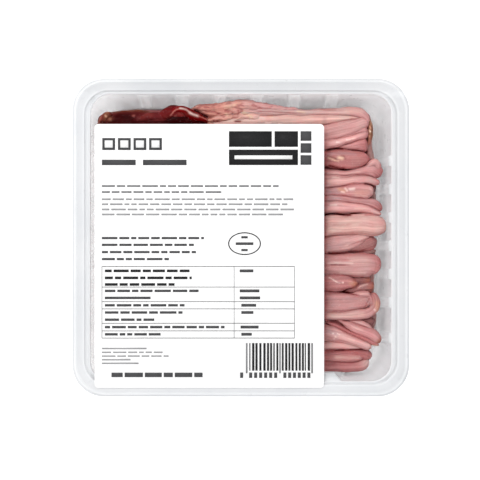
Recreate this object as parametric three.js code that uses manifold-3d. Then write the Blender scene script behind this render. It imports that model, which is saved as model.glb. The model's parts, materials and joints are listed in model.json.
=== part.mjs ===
// A sealed supermarket tray of raw duck tongues, with a clear top film and a large paper label.
// Millimetres, +Z up. The origin is the centre of the base, +Y the top edge of the label.
import * as THREE from 'three';
import Module from 'manifold-3d';
import { mergeVertices } from 'three/addons/utils/BufferGeometryUtils.js';

const wasm = await Module();
wasm.setup();

// Tray: outside of the flange, mouth of the well, and height of the sealing face
const flangeLength = 169;
const flangeWidth = 159.5;
const flangeRadius = 16;
const mouthLength = 150.6;
const mouthWidth = 143.7;
const mouthRadius = 10;
const trayHeight = 40;
const wallThickness = 0.8;
const cornerSteps = 5;

// How the corner radius changes for each millimetre of inset: on the flange, down the wall and
// over the floor
const flangeRadiusTaper = 0.62;
const wallRadiusGrowth = 0.5;
const floorRadiusTaper = 0.42;

// Flange section as inset from the outer edge and drop below the sealing face: the underside from
// the wall out to the foot of the skirt, then the top from the skirt in to the groove
const flangeUnderside = [[6.4, 1.8], [5.2, 0.8], [2.5, 0.8], [1.6, 1.9], [0.9, 3]];
const flangeTop = [[0, 3], [0, 1.8], [0.3, 1.45], [1, 1.3], [1.4, 0.3], [1.8, 0], [6.3, 0], [7.1, 0.95]];
const ledgeWidth = 0.6;
const ledgeDrop = 0.8;

// Well: the lip, how far the inner wall has come in where the floor bend starts, the rest of the
// bend as inset and height, and the raised middle panel of the floor
const lipHeight = trayHeight - 1.3;
const wallDraft = 4.7;
const bendHeight = 5;
const bendMiddle = [6.5, 2];
const floorInset = 9.4;
const panelInset = 14.4;
const panelSlope = 1;

// Stiffening ribs on the inner wall. A profile lists height and how far the rib stands proud there.
const lugProfile = [[lipHeight - 0.1, 1.3], [lipHeight - 2.2, 1.2], [lipHeight - 4.6, 0.45],
  [12, 0.45], [7, 0.2]];
const ribProfile = [[lipHeight - 1, 0.1], [lipHeight - 1.6, 0.5], [12, 0.45], [7, 0.2]];
const stepProfile = [[lipHeight - 0.1, 1], [lipHeight - 3, 1], [12, 0.5], [7, 0.2]];
const ribRoot = 0.5;
const sideLugWidth = 5.5;
const sideLugPitch = 14.2;
const sideLugCount = 6;
const sideLugFirstY = 38.6;
const lastSideLugY = -50.2;
const topRibWidth = 6.5;
const topRibPitch = 18.9;
const topRibCount = 6;
const topRibShift = -1.3;
const bottomStepLength = 96;

// Film and label
const filmThickness = 0.25;
const filmInset = 2.1;
const labelThickness = 0.25;
const labelLength = 114.75;
const labelWidth = 132;
const labelRadius = 2;
const labelCentre = [-15.8, -9.2];

// Meat: the packed core, and the tongues that lie on it
const coreFloor = 2;
const coreShoulder = 20;
const coreTop = 28;
const wallClearance = 0.9;
const pieceGap = 0.3;
const tongueSides = 8;
const tongueDepth = 5.2;
const labelEdgeX = 42.5;
const midX = 55;
const innerEndX = -8;
const underLabelDrift = 0.6;
const nearTipShare = 0.62;

// Tongues of the right-hand row from the top of the label down: y and width where they come out
// from under the label and at the middle of their free length, then the tip, the width there and the
// height of the top surface
const rightRow = [
  { outY: 52.9, outWidth: 8.4, midY: 55.6, midWidth: 8.6, tip: [64.4, 57.6], tipWidth: 6.2, top: 33 },
  { outY: 46.2, outWidth: 5.8, midY: 49.3, midWidth: 5.2, tip: [64.4, 52.6], tipWidth: 4.6, top: 33.6 },
  { outY: 44.2, outWidth: 4.6, midY: 45.8, midWidth: 5.4, tip: [64.2, 46.8], tipWidth: 6.6, top: 30.4 },
  { outY: 40, outWidth: 7.4, midY: 39.8, midWidth: 9.9, tip: [65.6, 39.7], tipWidth: 6.4, top: 34.4 },
  { outY: 33.6, outWidth: 6, midY: 33.2, midWidth: 6, tip: [69.9, 33.9], tipWidth: 6.4, top: 31.6 },
  { outY: 28.2, outWidth: 6.2, midY: 28.6, midWidth: 5.4, tip: [70.8, 28.4], tipWidth: 4.6, top: 32 },
  { outY: 23.2, outWidth: 4.4, midY: 23.7, midWidth: 6.2, tip: [66.2, 23.1], tipWidth: 5.4, top: 33.2 },
  { outY: 20.2, outWidth: 4, midY: 19, midWidth: 4.4, tip: [70.4, 16.2], tipWidth: 4.6, top: 30.8 },
  { outY: 15.4, outWidth: 7, midY: 14.6, midWidth: 6.2, tip: [70, 12.6], tipWidth: 4.8, top: 32 },
  { outY: 6.5, outWidth: 10.6, midY: 6.7, midWidth: 9.8, tip: [73.2, 6.9], tipWidth: 8.8, top: 35 },
  { outY: -3.3, outWidth: 9, midY: -2.6, midWidth: 8.4, tip: [69.2, -0.9], tipWidth: 6, top: 31.6 },
  { outY: -13.5, outWidth: 10.8, midY: -13.7, midWidth: 12, tip: [70.7, -14.3], tipWidth: 9.8, top: 33.6 },
  { outY: -21.6, outWidth: 6, midY: -21.4, midWidth: 5, tip: [66.2, -20.9], tipWidth: 4, top: 27.6 },
  { outY: -22.9, outWidth: 8.4, midY: -22.9, midWidth: 6.4, tip: [58.8, -22.9], tipWidth: 2.6, top: 34 },
  { outY: -26.4, outWidth: 6, midY: -26, midWidth: 6, tip: [68.2, -25], tipWidth: 5, top: 28.4 },
  { outY: -32.4, outWidth: 10.2, midY: -32.6, midWidth: 9.2, tip: [65, -31.5], tipWidth: 7.2, top: 33.6 },
  { outY: -48.6, outWidth: 6.6, midY: -51.7, midWidth: 5.4, tip: [68.2, -55.8], tipWidth: 4.2, top: 32.4 },
  { outY: -44.6, outWidth: 5.6, midY: -47, midWidth: 4.2, tip: [69.8, -53.4], tipWidth: 3.6, top: 29.8 },
  { outY: -54.4, outWidth: 5, midY: -55.4, midWidth: 3.8, tip: [61.5, -56], tipWidth: 2.4, top: 30.4 },
  { outY: -62.2, outWidth: 10.4, midY: -62.4, midWidth: 11.4, tip: [65.9, -61.3], tipWidth: 8.2, top: 31 },
];

// Tongues that bend within sight: points of the route as x, y, width and height of the top surface
const bentTongues = [
  [[8, -40.4, 8, 31], [42.5, -39.8, 5.2, 31], [57, -39.3, 5.2, 31], [65, -37.4, 5, 31.4],
    [69.4, -33, 5, 31.6], [66.8, -28.4, 4.2, 31]],
  [[30, -40.6, 6, 29.6], [50, -42.1, 5, 31], [60.1, -45.3, 5, 31.4], [70.4, -51.2, 4.4, 30.6]],
  [[65.2, 36.8, 3, 29.4], [67.4, 39.2, 3.4, 30.6], [69.6, 40.2, 2.6, 30.2]],
];

// Tongues of the bundle along the top wall, and the knobbly root end on its left
const topBundle = [
  [[-4, 64.4, 5, 33], [14, 65.8, 7, 34], [29.8, 63.8, 5, 33.4], [47.5, 62.9, 4.6, 33.4],
    [57, 63.6, 5, 33.4], [64.6, 62.2, 4.6, 31.6]],
  [[-6, 58, 8, 33], [8, 60, 7.6, 33.8], [29.8, 59.6, 6, 33.6], [42.5, 59.2, 5.4, 33.4],
    [54, 60.3, 4, 33], [61.8, 61, 2.6, 32.4]],
  [[-24.4, 63.2, 5, 31.4], [-17, 64.2, 8.6, 32.8], [-8, 65.6, 10, 33.4], [5, 66.6, 8.6, 33.8],
    [18, 64.6, 5, 33]],
  [[-19, 55.4, 6, 31.6], [-12, 58.4, 9, 33], [-2, 60.4, 8, 33.4], [12, 60.6, 6, 33]],
];
const rootKnobs = [
  [-19, 63.8, 4.6], [-13.8, 66, 4.4], [-14.4, 60.6, 4.8], [-8, 67, 4.6], [-8, 61.6, 4.8],
  [-2, 67.6, 4.6], [-1.6, 62.4, 4.8],
];
const knobTop = 34.2;

// Tongues of the left-hand row, under the label
const leftRowCount = 15;
const leftRowPitch = 7.9;
const leftRowStart = -62;
const leftRowEndX = -69.5;

// Dark red piece in the top left corner: x, y, width and top along its length
const darkPiece = [[-71, 56, 9, 30], [-67.5, 59.2, 13, 32.6], [-57, 59, 14, 33], [-45, 58.6, 14, 32.6],
  [-37, 59.4, 15, 33.6], [-31, 59.8, 15.4, 35.4], [-24, 57.6, 12, 34.2], [-18.4, 55, 8, 32]];
const darkDepth = 6;
const darkSides = 12;

function material(colour, roughness) {
  return new THREE.MeshStandardMaterial({ color: colour, roughness, metalness: 0 });
}

const trayMaterial = material(0xe9ecee, 0.35);
const filmMaterial = material(0xf4f6f7, 0.12);
const labelMaterial = material(0xfdfdfd, 0.55);
const tongueMaterial = material(0xd69c95, 0.38);
const darkMaterial = material(0x5a2426, 0.25);

// Rounded rectangle as a closed ring of points, anticlockwise from +X
function ring(halfX, halfY, radius, z) {
  const points = [];
  const centres = [[1, 1], [-1, 1], [-1, -1], [1, -1]];
  centres.forEach(([sideX, sideY], corner) => {
    for (let step = 0; step <= cornerSteps; step += 1) {
      const angle = (corner + step / cornerSteps) * Math.PI / 2;
      const x = sideX * (halfX - radius) + radius * Math.cos(angle);
      const y = sideY * (halfY - radius) + radius * Math.sin(angle);
      points.push(new THREE.Vector3(x, y, z));
    }
  });
  return points;
}

function flangeRing(inset, z) {
  const radius = flangeRadius - inset * flangeRadiusTaper;
  return ring(flangeLength / 2 - inset, flangeWidth / 2 - inset, radius, z);
}

// Ring at an inset from the mouth. The corners widen down the wall and tighten over the floor.
// thickness moves the ring out from the inner face of the tray to its outer face.
function wellRing(inset, z, thickness = 0) {
  const onWall = Math.min(inset, wallDraft);
  const onFloor = inset - onWall;
  const radius = mouthRadius + Math.abs(onWall) * wallRadiusGrowth - onFloor * floorRadiusTaper;
  const out = thickness - inset;
  return ring(mouthLength / 2 + out, mouthWidth / 2 + out, radius + thickness, z);
}

// Closed body through a series of rings of equal count, each end closed round a middle point
function loft(rings, firstPole, lastPole) {
  const count = rings[0].length;
  const positions = [];
  const indices = [];
  rings.forEach((points) => points.forEach((p) => positions.push(p.x, p.y, p.z)));
  const first = positions.length / 3;
  positions.push(firstPole.x, firstPole.y, firstPole.z);
  positions.push(lastPole.x, lastPole.y, lastPole.z);
  const lastRing = (rings.length - 1) * count;
  for (let i = 0; i < count; i += 1) {
    const next = (i + 1) % count;
    indices.push(first, next, i);
    indices.push(first + 1, lastRing + i, lastRing + next);
    for (let level = 0; level < rings.length - 1; level += 1) {
      const below = level * count;
      const above = below + count;
      indices.push(below + i, below + next, above + next);
      indices.push(below + i, above + next, above + i);
    }
  }
  const geometry = new THREE.BufferGeometry();
  geometry.setAttribute('position', new THREE.Float32BufferAttribute(positions, 3));
  geometry.setIndex(indices);
  return geometry;
}

function flatLoft(rings) {
  const firstPole = new THREE.Vector3(0, 0, rings[0][0].z);
  const lastPole = new THREE.Vector3(0, 0, rings[rings.length - 1][0].z);
  return loft(rings, firstPole, lastPole);
}

function toSolid(geometry) {
  const bare = geometry.clone();
  bare.deleteAttribute('normal');
  bare.deleteAttribute('uv');
  const merged = mergeVertices(bare, 1e-4);
  const vertProperties = new Float32Array(merged.attributes.position.array);
  const triVerts = new Uint32Array(merged.index.array);
  return new wasm.Manifold(new wasm.Mesh({ numProp: 3, vertProperties, triVerts }));
}

function toGeometry(solid) {
  const mesh = solid.getMesh();
  const geometry = new THREE.BufferGeometry();
  geometry.setAttribute('position', new THREE.Float32BufferAttribute(mesh.vertProperties, 3));
  geometry.setIndex(Array.from(mesh.triVerts));
  return geometry;
}

function joined(solids) {
  return solids.reduce((whole, piece) => whole.add(piece));
}

// The outermost of a mesh's separate shells: hollows sealed by joining are filled, scraps dropped
function outerShell(geometry) {
  const { array } = geometry.attributes.position;
  const corners = geometry.index.array;
  const parent = Array.from({ length: array.length / 3 }, (_, i) => i);
  const root = (i) => {
    let at = i;
    while (parent[at] !== at) at = parent[at];
    parent[i] = at;
    return at;
  };
  for (let i = 0; i < corners.length; i += 3) {
    parent[root(corners[i + 1])] = root(corners[i]);
    parent[root(corners[i + 2])] = root(corners[i]);
  }
  const shells = new Map();
  for (let i = 0; i < corners.length; i += 3) {
    const key = root(corners[i]);
    const shell = shells.get(key) ?? { volume: 0, indices: [] };
    const [a, b, c] = [0, 1, 2].map((j) => new THREE.Vector3().fromArray(array, corners[i + j] * 3));
    shell.volume += a.dot(b.cross(c)) / 6;
    shell.indices.push(corners[i], corners[i + 1], corners[i + 2]);
    shells.set(key, shell);
  }
  const largest = [...shells.values()].reduce((best, shell) => (shell.volume > best.volume ? shell : best));
  geometry.setIndex(largest.indices);
  return geometry;
}

// Inset of the inner wall from the mouth at a height between the bend and the lip
function wallInset(z) {
  return wallDraft * (lipHeight - z) / (lipHeight - bendHeight);
}

function trayShell() {
  const [bendInset, bendMiddleHeight] = bendMiddle;
  const outside = [
    wellRing(panelInset + panelSlope + wallThickness, wallThickness),
    wellRing(panelInset + wallThickness, 0),
    wellRing(floorInset, 0, wallThickness),
    wellRing(bendInset, bendMiddleHeight - wallThickness, wallThickness),
    wellRing(wallDraft, bendHeight - 0.2, wallThickness),
    wellRing(0, lipHeight - wallThickness, wallThickness),
  ];
  const section = [...flangeUnderside, ...flangeTop];
  const flange = section.map(([inset, drop]) => flangeRing(inset, trayHeight - drop));
  const inside = [
    wellRing(-ledgeWidth, trayHeight - ledgeDrop),
    wellRing(0, lipHeight),
    wellRing(wallDraft, bendHeight),
    wellRing(bendInset, bendMiddleHeight),
    wellRing(floorInset, wallThickness),
    wellRing(panelInset, wallThickness),
    wellRing(panelInset + panelSlope, 2 * wallThickness),
  ];
  return toSolid(flatLoft([...outside, ...flange, ...inside]));
}

// Upright rib on the inner wall, rooted in it. Its side view is extruded along the wall.
function wallRib(width, profile, half) {
  const side = new THREE.Shape();
  const front = profile.map(([z, proud]) => [half - wallInset(z) - proud, z]);
  const back = [...profile].reverse().map(([z]) => [half - wallInset(z) + ribRoot, z]);
  [...front, ...back].forEach(([x, z], i) => {
    if (i === 0) side.moveTo(x, z);
    else side.lineTo(x, z);
  });
  side.closePath();
  const rib = new THREE.ExtrudeGeometry(side, { depth: width, bevelEnabled: false });
  rib.translate(0, 0, -width / 2);
  rib.rotateX(Math.PI / 2);
  return rib;
}

function sideLugPlaces() {
  const places = [lastSideLugY];
  for (let i = 0; i < sideLugCount; i += 1) {
    places.push(sideLugFirstY - i * sideLugPitch);
  }
  return places;
}

function sideLugs() {
  return sideLugPlaces().map((y) => {
    const lug = wallRib(sideLugWidth, lugProfile, mouthLength / 2);
    lug.translate(0, y, 0);
    return toSolid(lug);
  });
}

function topRibs() {
  const ribs = [];
  for (let i = 0; i < topRibCount; i += 1) {
    const rib = wallRib(topRibWidth, ribProfile, mouthWidth / 2);
    rib.rotateZ(Math.PI / 2);
    rib.translate(topRibShift + (i - (topRibCount - 1) / 2) * topRibPitch, 0, 0);
    ribs.push(toSolid(rib));
  }
  return ribs;
}

function leftRibs() {
  return sideLugPlaces().map((y) => {
    const rib = wallRib(sideLugWidth, ribProfile, mouthLength / 2);
    rib.rotateZ(Math.PI);
    rib.translate(0, y, 0);
    return toSolid(rib);
  });
}

function bottomStep() {
  const step = wallRib(bottomStepLength, stepProfile, mouthWidth / 2);
  step.rotateZ(-Math.PI / 2);
  return toSolid(step);
}

function trayGeometry() {
  return toGeometry(joined([trayShell(), ...sideLugs(), ...topRibs(), ...leftRibs(), bottomStep()]));
}

function filmGeometry() {
  return flatLoft([
    flangeRing(filmInset, trayHeight),
    flangeRing(filmInset, trayHeight + filmThickness),
  ]);
}

function labelGeometry() {
  const base = trayHeight + filmThickness;
  const plate = flatLoft([
    ring(labelLength / 2, labelWidth / 2, labelRadius, base),
    ring(labelLength / 2, labelWidth / 2, labelRadius, base + labelThickness),
  ]);
  plate.translate(labelCentre[0], labelCentre[1], 0);
  return plate;
}

// Where each section of a tongue lies along it, from the root to the tip
const sectionShares = [0.02, 0.12, 0.36, 0.6, 0.8, 0.92, 0.98];
const roundedShare = 0.12;

// How far a section has closed in by the rounding of the two ends
function endRounding(share) {
  const fromEnd = Math.min(share, 1 - share) / roundedShare;
  return fromEnd >= 1 ? 1 : Math.sqrt(1 - (1 - fromEnd) ** 2);
}

// Tongue along a smooth route whose points are x, y, width and height of the top surface.
// growth widens it all round, for the clearance that another piece keeps.
function sweep(route, depth, growth, sides) {
  const along = new THREE.CatmullRomCurve3(route.map(([x, y, , top]) => new THREE.Vector3(x, y, top)));
  const widths = new THREE.CatmullRomCurve3(route.map(([, , width]) => new THREE.Vector3(width, 0, 0)));
  const rings = sectionShares.map((share) => {
    const rounding = endRounding(share);
    const middle = along.getPoint(share).add(new THREE.Vector3(0, 0, -depth));
    const ahead = along.getTangent(share).setZ(0).normalize();
    const halfWidth = widths.getPoint(share).x / 2 * rounding + growth;
    const halfDepth = depth * (0.45 + 0.55 * rounding) + growth;
    const points = [];
    for (let i = 0; i < sides; i += 1) {
      const angle = i / sides * Math.PI * 2;
      const across = Math.cos(angle) * halfWidth;
      const up = Math.sin(angle) * halfDepth;
      points.push(new THREE.Vector3(
        middle.x - ahead.y * across,
        middle.y + ahead.x * across,
        middle.z + up,
      ));
    }
    return points;
  });
  const pole = (share, way) => along.getPoint(share)
    .add(new THREE.Vector3(0, 0, -depth))
    .addScaledVector(along.getTangent(share).setZ(0).normalize(), way * growth);
  return toSolid(loft(rings, pole(0, -1), pole(1, 1)));
}

function rightTongue({ outY, outWidth, midY, midWidth, tip, tipWidth, top }) {
  const [tipX, tipY] = tip;
  const underY = outY + (outY - midY) * underLabelDrift;
  const nearTipX = midX + (tipX - midX) * nearTipShare;
  const nearTipY = midY + (tipY - midY) * nearTipShare;
  const route = [
    [innerEndX, underY, outWidth, top - 2],
    [(innerEndX + labelEdgeX) / 2, underY, outWidth, top - 0.5],
    [labelEdgeX, outY, outWidth, top],
    [midX, midY, midWidth, top],
    [nearTipX, nearTipY, (midWidth + tipWidth) / 2, top - 0.4],
    [tipX, tipY, tipWidth, top - 3],
  ];
  return sweep(route, tongueDepth, 0, tongueSides);
}

// Repeatable uneven numbers between -1 and 1
function uneven(seed) {
  const value = Math.sin(seed * 127.1 + 11.7) * 43758.5453;
  return (value - Math.floor(value)) * 2 - 1;
}

function leftTongue(i) {
  const y = leftRowStart + i * leftRowPitch + uneven(i) * 0.7;
  const width = leftRowPitch * (1.12 + uneven(i + 40) * 0.14);
  const top = 32 + uneven(i + 80) * 1.4;
  const end = leftRowEndX + Math.abs(uneven(i + 120)) * 4;
  const route = [
    [10 + uneven(i + 160) * 3, y + uneven(i + 200) * 1.5, width * 0.8, top - 4],
    [-14, y, width, top - 0.6],
    [-38, y + uneven(i + 240) * 0.8, width, top],
    [-58, y, width * 0.95, top - 0.4],
    [end, y + uneven(i + 280) * 1.2, width * 0.7, top - 3.2],
  ];
  return sweep(route, tongueDepth, 0, tongueSides);
}

function rootKnob([x, y, radius], i) {
  const knob = new THREE.IcosahedronGeometry(radius, 1);
  knob.scale(1, 0.8, 1.3);
  knob.rotateZ(uneven(i + 320));
  knob.translate(x, y, knobTop - radius * 1.3 + uneven(i + 360) * 0.8);
  return toSolid(knob);
}

// The packed meat below the tongues that show: inset from the mouth and height, from the floor up
function coreGeometry() {
  const low = wallInset(bendHeight) + wallClearance;
  const high = wallInset(coreShoulder) + wallClearance;
  return flatLoft([
    wellRing(panelInset + 2.1, coreFloor),
    wellRing(low + 2.4, coreFloor + 1.6),
    wellRing(low + 0.6, coreFloor + 6),
    wellRing(high + 1.4, coreShoulder),
    wellRing(high + 4.4, coreTop - 2.4),
    wellRing(panelInset, coreTop),
  ]);
}

// The room that the tongues on top have inside the tray
function roomGeometry() {
  const top = lipHeight - 3;
  return flatLoft([
    wellRing(wallInset(bendHeight) + wallClearance, bendHeight),
    wellRing(wallInset(top) + wallClearance, top),
  ]);
}

function darkSolid(growth) {
  return sweep(darkPiece, darkDepth, growth, darkSides);
}

function tonguesGeometry() {
  const surface = [
    ...rightRow.map(rightTongue),
    ...bentTongues.map((route) => sweep(route, tongueDepth, 0, tongueSides)),
    ...topBundle.map((route) => sweep(route, tongueDepth, 0, tongueSides)),
    ...rootKnobs.map(rootKnob),
  ];
  for (let i = 0; i < leftRowCount; i += 1) {
    surface.push(leftTongue(i));
  }
  const inRoom = joined(surface).intersect(toSolid(roomGeometry()));
  const heap = toSolid(coreGeometry()).add(inRoom);
  return outerShell(toGeometry(heap.subtract(darkSolid(pieceGap))));
}

function named(name, geometry, look) {
  const mesh = new THREE.Mesh(geometry, look);
  mesh.name = name;
  return mesh;
}

const group = new THREE.Group();
group.add(named('tray', trayGeometry(), trayMaterial));
group.add(named('duck_tongues', tonguesGeometry(), tongueMaterial));
group.add(named('dark_red_piece', toGeometry(darkSolid(0)), darkMaterial));
group.add(named('lid_film', filmGeometry(), filmMaterial));
group.add(named('label', labelGeometry(), labelMaterial));

export default group;
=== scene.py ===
import json
import math

import bmesh
import bpy
import numpy as np
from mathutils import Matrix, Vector, noise

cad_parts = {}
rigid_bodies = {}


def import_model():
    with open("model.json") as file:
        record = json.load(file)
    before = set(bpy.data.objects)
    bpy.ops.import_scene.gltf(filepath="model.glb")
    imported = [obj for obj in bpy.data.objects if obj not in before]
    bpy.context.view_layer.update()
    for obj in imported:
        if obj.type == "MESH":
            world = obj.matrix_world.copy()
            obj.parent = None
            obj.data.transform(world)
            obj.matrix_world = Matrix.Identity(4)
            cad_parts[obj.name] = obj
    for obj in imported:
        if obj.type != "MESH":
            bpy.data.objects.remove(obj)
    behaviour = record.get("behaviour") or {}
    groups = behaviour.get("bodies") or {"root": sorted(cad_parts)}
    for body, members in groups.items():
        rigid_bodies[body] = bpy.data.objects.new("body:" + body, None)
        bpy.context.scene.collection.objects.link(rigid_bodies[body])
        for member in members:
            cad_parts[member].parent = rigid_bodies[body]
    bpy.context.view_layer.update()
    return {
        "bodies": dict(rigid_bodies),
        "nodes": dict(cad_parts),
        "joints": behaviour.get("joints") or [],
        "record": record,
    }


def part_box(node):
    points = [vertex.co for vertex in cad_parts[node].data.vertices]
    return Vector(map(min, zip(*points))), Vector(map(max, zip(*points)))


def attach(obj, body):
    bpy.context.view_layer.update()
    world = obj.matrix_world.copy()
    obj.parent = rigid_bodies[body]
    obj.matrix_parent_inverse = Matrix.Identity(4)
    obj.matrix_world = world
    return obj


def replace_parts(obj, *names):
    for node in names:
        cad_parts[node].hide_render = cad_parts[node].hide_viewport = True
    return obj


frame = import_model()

# Sealed tray of raw duck tongues. Lengths are in millimetres until a piece is finished.
mm = 0.001
tiny = 1e-4  # points closer than this are one
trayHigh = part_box("tray")[1] / mm
filmLow, filmHigh = [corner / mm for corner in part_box("lid_film")]
labelLow, labelHigh = [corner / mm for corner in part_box("label")]
sealHeight = filmLow.z  # the flat top of the flange


def mix(a, b, share):
    return a + (b - a) * share


def blend(a, b, share):
    return tuple(mix(x, y, share) for x, y in zip(a, b))


def clamp(value, low=0.0, high=1.0):
    return max(low, min(high, value))


def smooth(value):
    value = clamp(value)
    return value * value * (3 - 2 * value)


# Share that grows from 0 to 1 from a start over a length, leftwards or downwards if the length is negative
def fade(value, start, length):
    return smooth((value - start) / length)


# Repeatable uneven numbers between -1 and 1
def uneven(seed):
    value = math.sin(seed * 127.1 + 11.7) * 43758.5453
    return (value - math.floor(value)) * 2 - 1


# Colour as it looks on screen, 0 to 255, turned into what a shader takes
def colour(red, green, blue):
    shares = [value / 255 for value in (red, green, blue)]
    return tuple(s / 12.92 if s <= 0.04045 else ((s + 0.055) / 1.055) ** 2.4 for s in shares)


# Smooth curve through rows of numbers, at a share of its spans
def curvePoint(points, share):
    spans = len(points) - 1
    place = clamp(share) * spans
    i = min(int(place), spans - 1)
    t = place - i
    p1, p2 = points[i], points[i + 1]
    p0 = points[i - 1] if i > 0 else [2 * a - b for a, b in zip(p1, p2)]
    p3 = points[i + 2] if i + 2 < len(points) else [2 * b - a for a, b in zip(p1, p2)]
    return [0.5 * (2 * b + (c - a) * t + (2 * a - 5 * b + 4 * c - d) * t * t
                   + (3 * b - a - 3 * c + d) * t ** 3)
            for a, b, c, d in zip(p0, p1, p2, p3)]


# Line of rows with each inner corner rounded over a reach, which takes at most a share of each side
def roundedLine(rows, reach, steps, most=0.45):
    line = [rows[0]]
    for before, here, after in zip(rows, rows[1:], rows[2:]):
        sides = []
        for other in (before, after):
            length = math.dist(other, here)
            sides.append([mix(h, o, min(reach, length * most) / length) for h, o in zip(here, other)])
        for step in range(steps + 1):
            t = step / steps
            line.append([mix(mix(a, h, t), mix(h, b, t), t) for a, h, b in zip(sides[0], here, sides[1])])
    line.append(rows[-1])
    return line


# Value of a profile of (place, value) rows, listed from high place to low
def profileAt(profile, place):
    if place >= profile[0][0] or place <= profile[-1][0]:
        return 0.0
    for (high, top), (low, bottom) in zip(profile, profile[1:]):
        if place >= low:
            return mix(bottom, top, (place - low) / (high - low))
    return 0.0


def feed(tree, socket, value):
    if isinstance(value, bpy.types.NodeSocket):
        tree.links.new(value, socket)
    elif socket.type == "RGBA":
        socket.default_value = (*value, 1.0)
    else:
        socket.default_value = value


def newNode(tree, kind, settings=None, **inputs):
    made = tree.nodes.new(kind)
    for name, value in (settings or {}).items():
        setattr(made, name, value)
    for name, value in inputs.items():
        feed(tree, made.inputs[name], value)
    return made


def calculated(tree, operation, first, second, clamped=False):
    made = newNode(tree, "ShaderNodeMath", {"operation": operation, "use_clamp": clamped})
    feed(tree, made.inputs[0], first)
    feed(tree, made.inputs[1], second)
    return made.outputs[0]


def mixColour(tree, share, first, second, way="MIX"):
    made = newNode(tree, "ShaderNodeMix", {"data_type": "RGBA", "blend_type": way})
    for place, value in ((0, share), (6, first), (7, second)):
        feed(tree, made.inputs[place], value)
    return made.outputs[2]


def ranged(tree, value, fromLow, fromHigh, low, high):
    made = newNode(tree, "ShaderNodeMapRange", Value=value)
    for place, number in enumerate((fromLow, fromHigh, low, high), 1):
        made.inputs[place].default_value = number
    return made.outputs[0]


def noiseOf(tree, vector, scale, detail=2.0, roughness=0.5):
    made = newNode(tree, "ShaderNodeTexNoise", Vector=vector, Scale=scale, Detail=detail, Roughness=roughness)
    return made.outputs[0]


# The middle of a noise, where most of it lies, spread over a range of values
def spread(tree, grain, low=0.0, high=1.0):
    return ranged(tree, grain, 0.3, 0.7, low, high)


def bumped(tree, height, strength, depth, **under):
    made = newNode(tree, "ShaderNodeBump", Strength=strength, Distance=depth, Height=height, **under)
    return made.outputs[0]


def stretched(tree, vector, scale):
    return newNode(tree, "ShaderNodeMapping", Vector=vector, Scale=scale).outputs[0]


def objectPlace(tree):
    return newNode(tree, "ShaderNodeTexCoord").outputs["Object"]


# Attribute stored on a piece's own points
def stored(tree, name, output):
    return newNode(tree, "ShaderNodeAttribute", {"attribute_name": name}).outputs[output]


def newMaterial(name, **values):
    material = bpy.data.materials.new(name)
    material.use_nodes = True
    tree = material.node_tree
    tree.nodes.clear()
    output = tree.nodes.new("ShaderNodeOutputMaterial")
    shader = tree.nodes.new("ShaderNodeBsdfPrincipled")
    tree.links.new(shader.outputs[0], output.inputs[0])
    for socket, value in values.items():
        feed(tree, shader.inputs[socket.replace("_", " ")], value)
    return material, tree, shader.inputs


def newGroup(name, inputs, outputs):
    group = bpy.data.node_groups.new(name, "ShaderNodeTree")
    for side, rows in (("INPUT", inputs), ("OUTPUT", outputs)):
        for title, kind in rows:
            group.interface.new_socket(title, in_out=side, socket_type="NodeSocket" + kind)
    return group, group.nodes.new("NodeGroupInput").outputs, group.nodes.new("NodeGroupOutput").inputs


def placeGroup(tree, group, **inputs):
    return newNode(tree, "ShaderNodeGroup", {"node_tree": group}, **inputs).outputs


# Lengthwise muscle fibre: broad soft streaks and fine ones, and the height that goes with them
def fibreGroup():
    group, given, out = newGroup(
        "muscleFibre", [("Grain", "Vector"), ("Broad", "Vector"), ("Fine", "Vector")],
        [("Streaks", "Float"), ("Height", "Float")])
    broad = noiseOf(group, stretched(group, given["Grain"], given["Broad"]), 1.0)
    fine = noiseOf(group, stretched(group, given["Grain"], given["Fine"]), 1.0, 3.0, 0.6)
    both = calculated(group, "ADD", broad, fine)
    feed(group, out["Streaks"], ranged(group, both, 0.62, 1.38, 0.0, 1.0))
    feed(group, out["Height"], fine)
    return group


# Soft blotches at a scale, and the small pale flecks between them
def blotchGroup():
    group, given, out = newGroup(
        "blotches", [("Vector", "Vector"), ("Scale", "Float"), ("Flecks", "Float")],
        [("Blotch", "Float"), ("Fleck", "Float")])
    blotch = noiseOf(group, given["Vector"], given["Scale"], 3.0)
    feed(group, out["Blotch"], ranged(group, blotch, 0.36, 0.66, 0.0, 1.0))
    fleck = noiseOf(group, given["Vector"], given["Flecks"], 2.0, 0.6)
    feed(group, out["Fleck"], ranged(group, fleck, 0.6, 0.74, 0.0, 1.0))
    return group


muscleFibre = fibreGroup()
blotches = blotchGroup()


# Finished piece: normals out, metres, on the body, with its slot
def finishPiece(bm, name, material):
    bmesh.ops.recalc_face_normals(bm, faces=bm.faces)
    bmesh.ops.scale(bm, vec=(mm, mm, mm), verts=bm.verts)
    mesh = bpy.data.meshes.new(name)
    bm.to_mesh(mesh)
    bm.free()
    mesh.polygons.foreach_set("use_smooth", [True] * len(mesh.polygons))
    mesh.materials.append(material)
    piece = bpy.data.objects.new(name, mesh)
    bpy.context.scene.collection.objects.link(piece)
    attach(piece, "root")
    print(f"{name}: {sum(len(p.vertices) - 2 for p in mesh.polygons)} triangles")
    return piece


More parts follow.
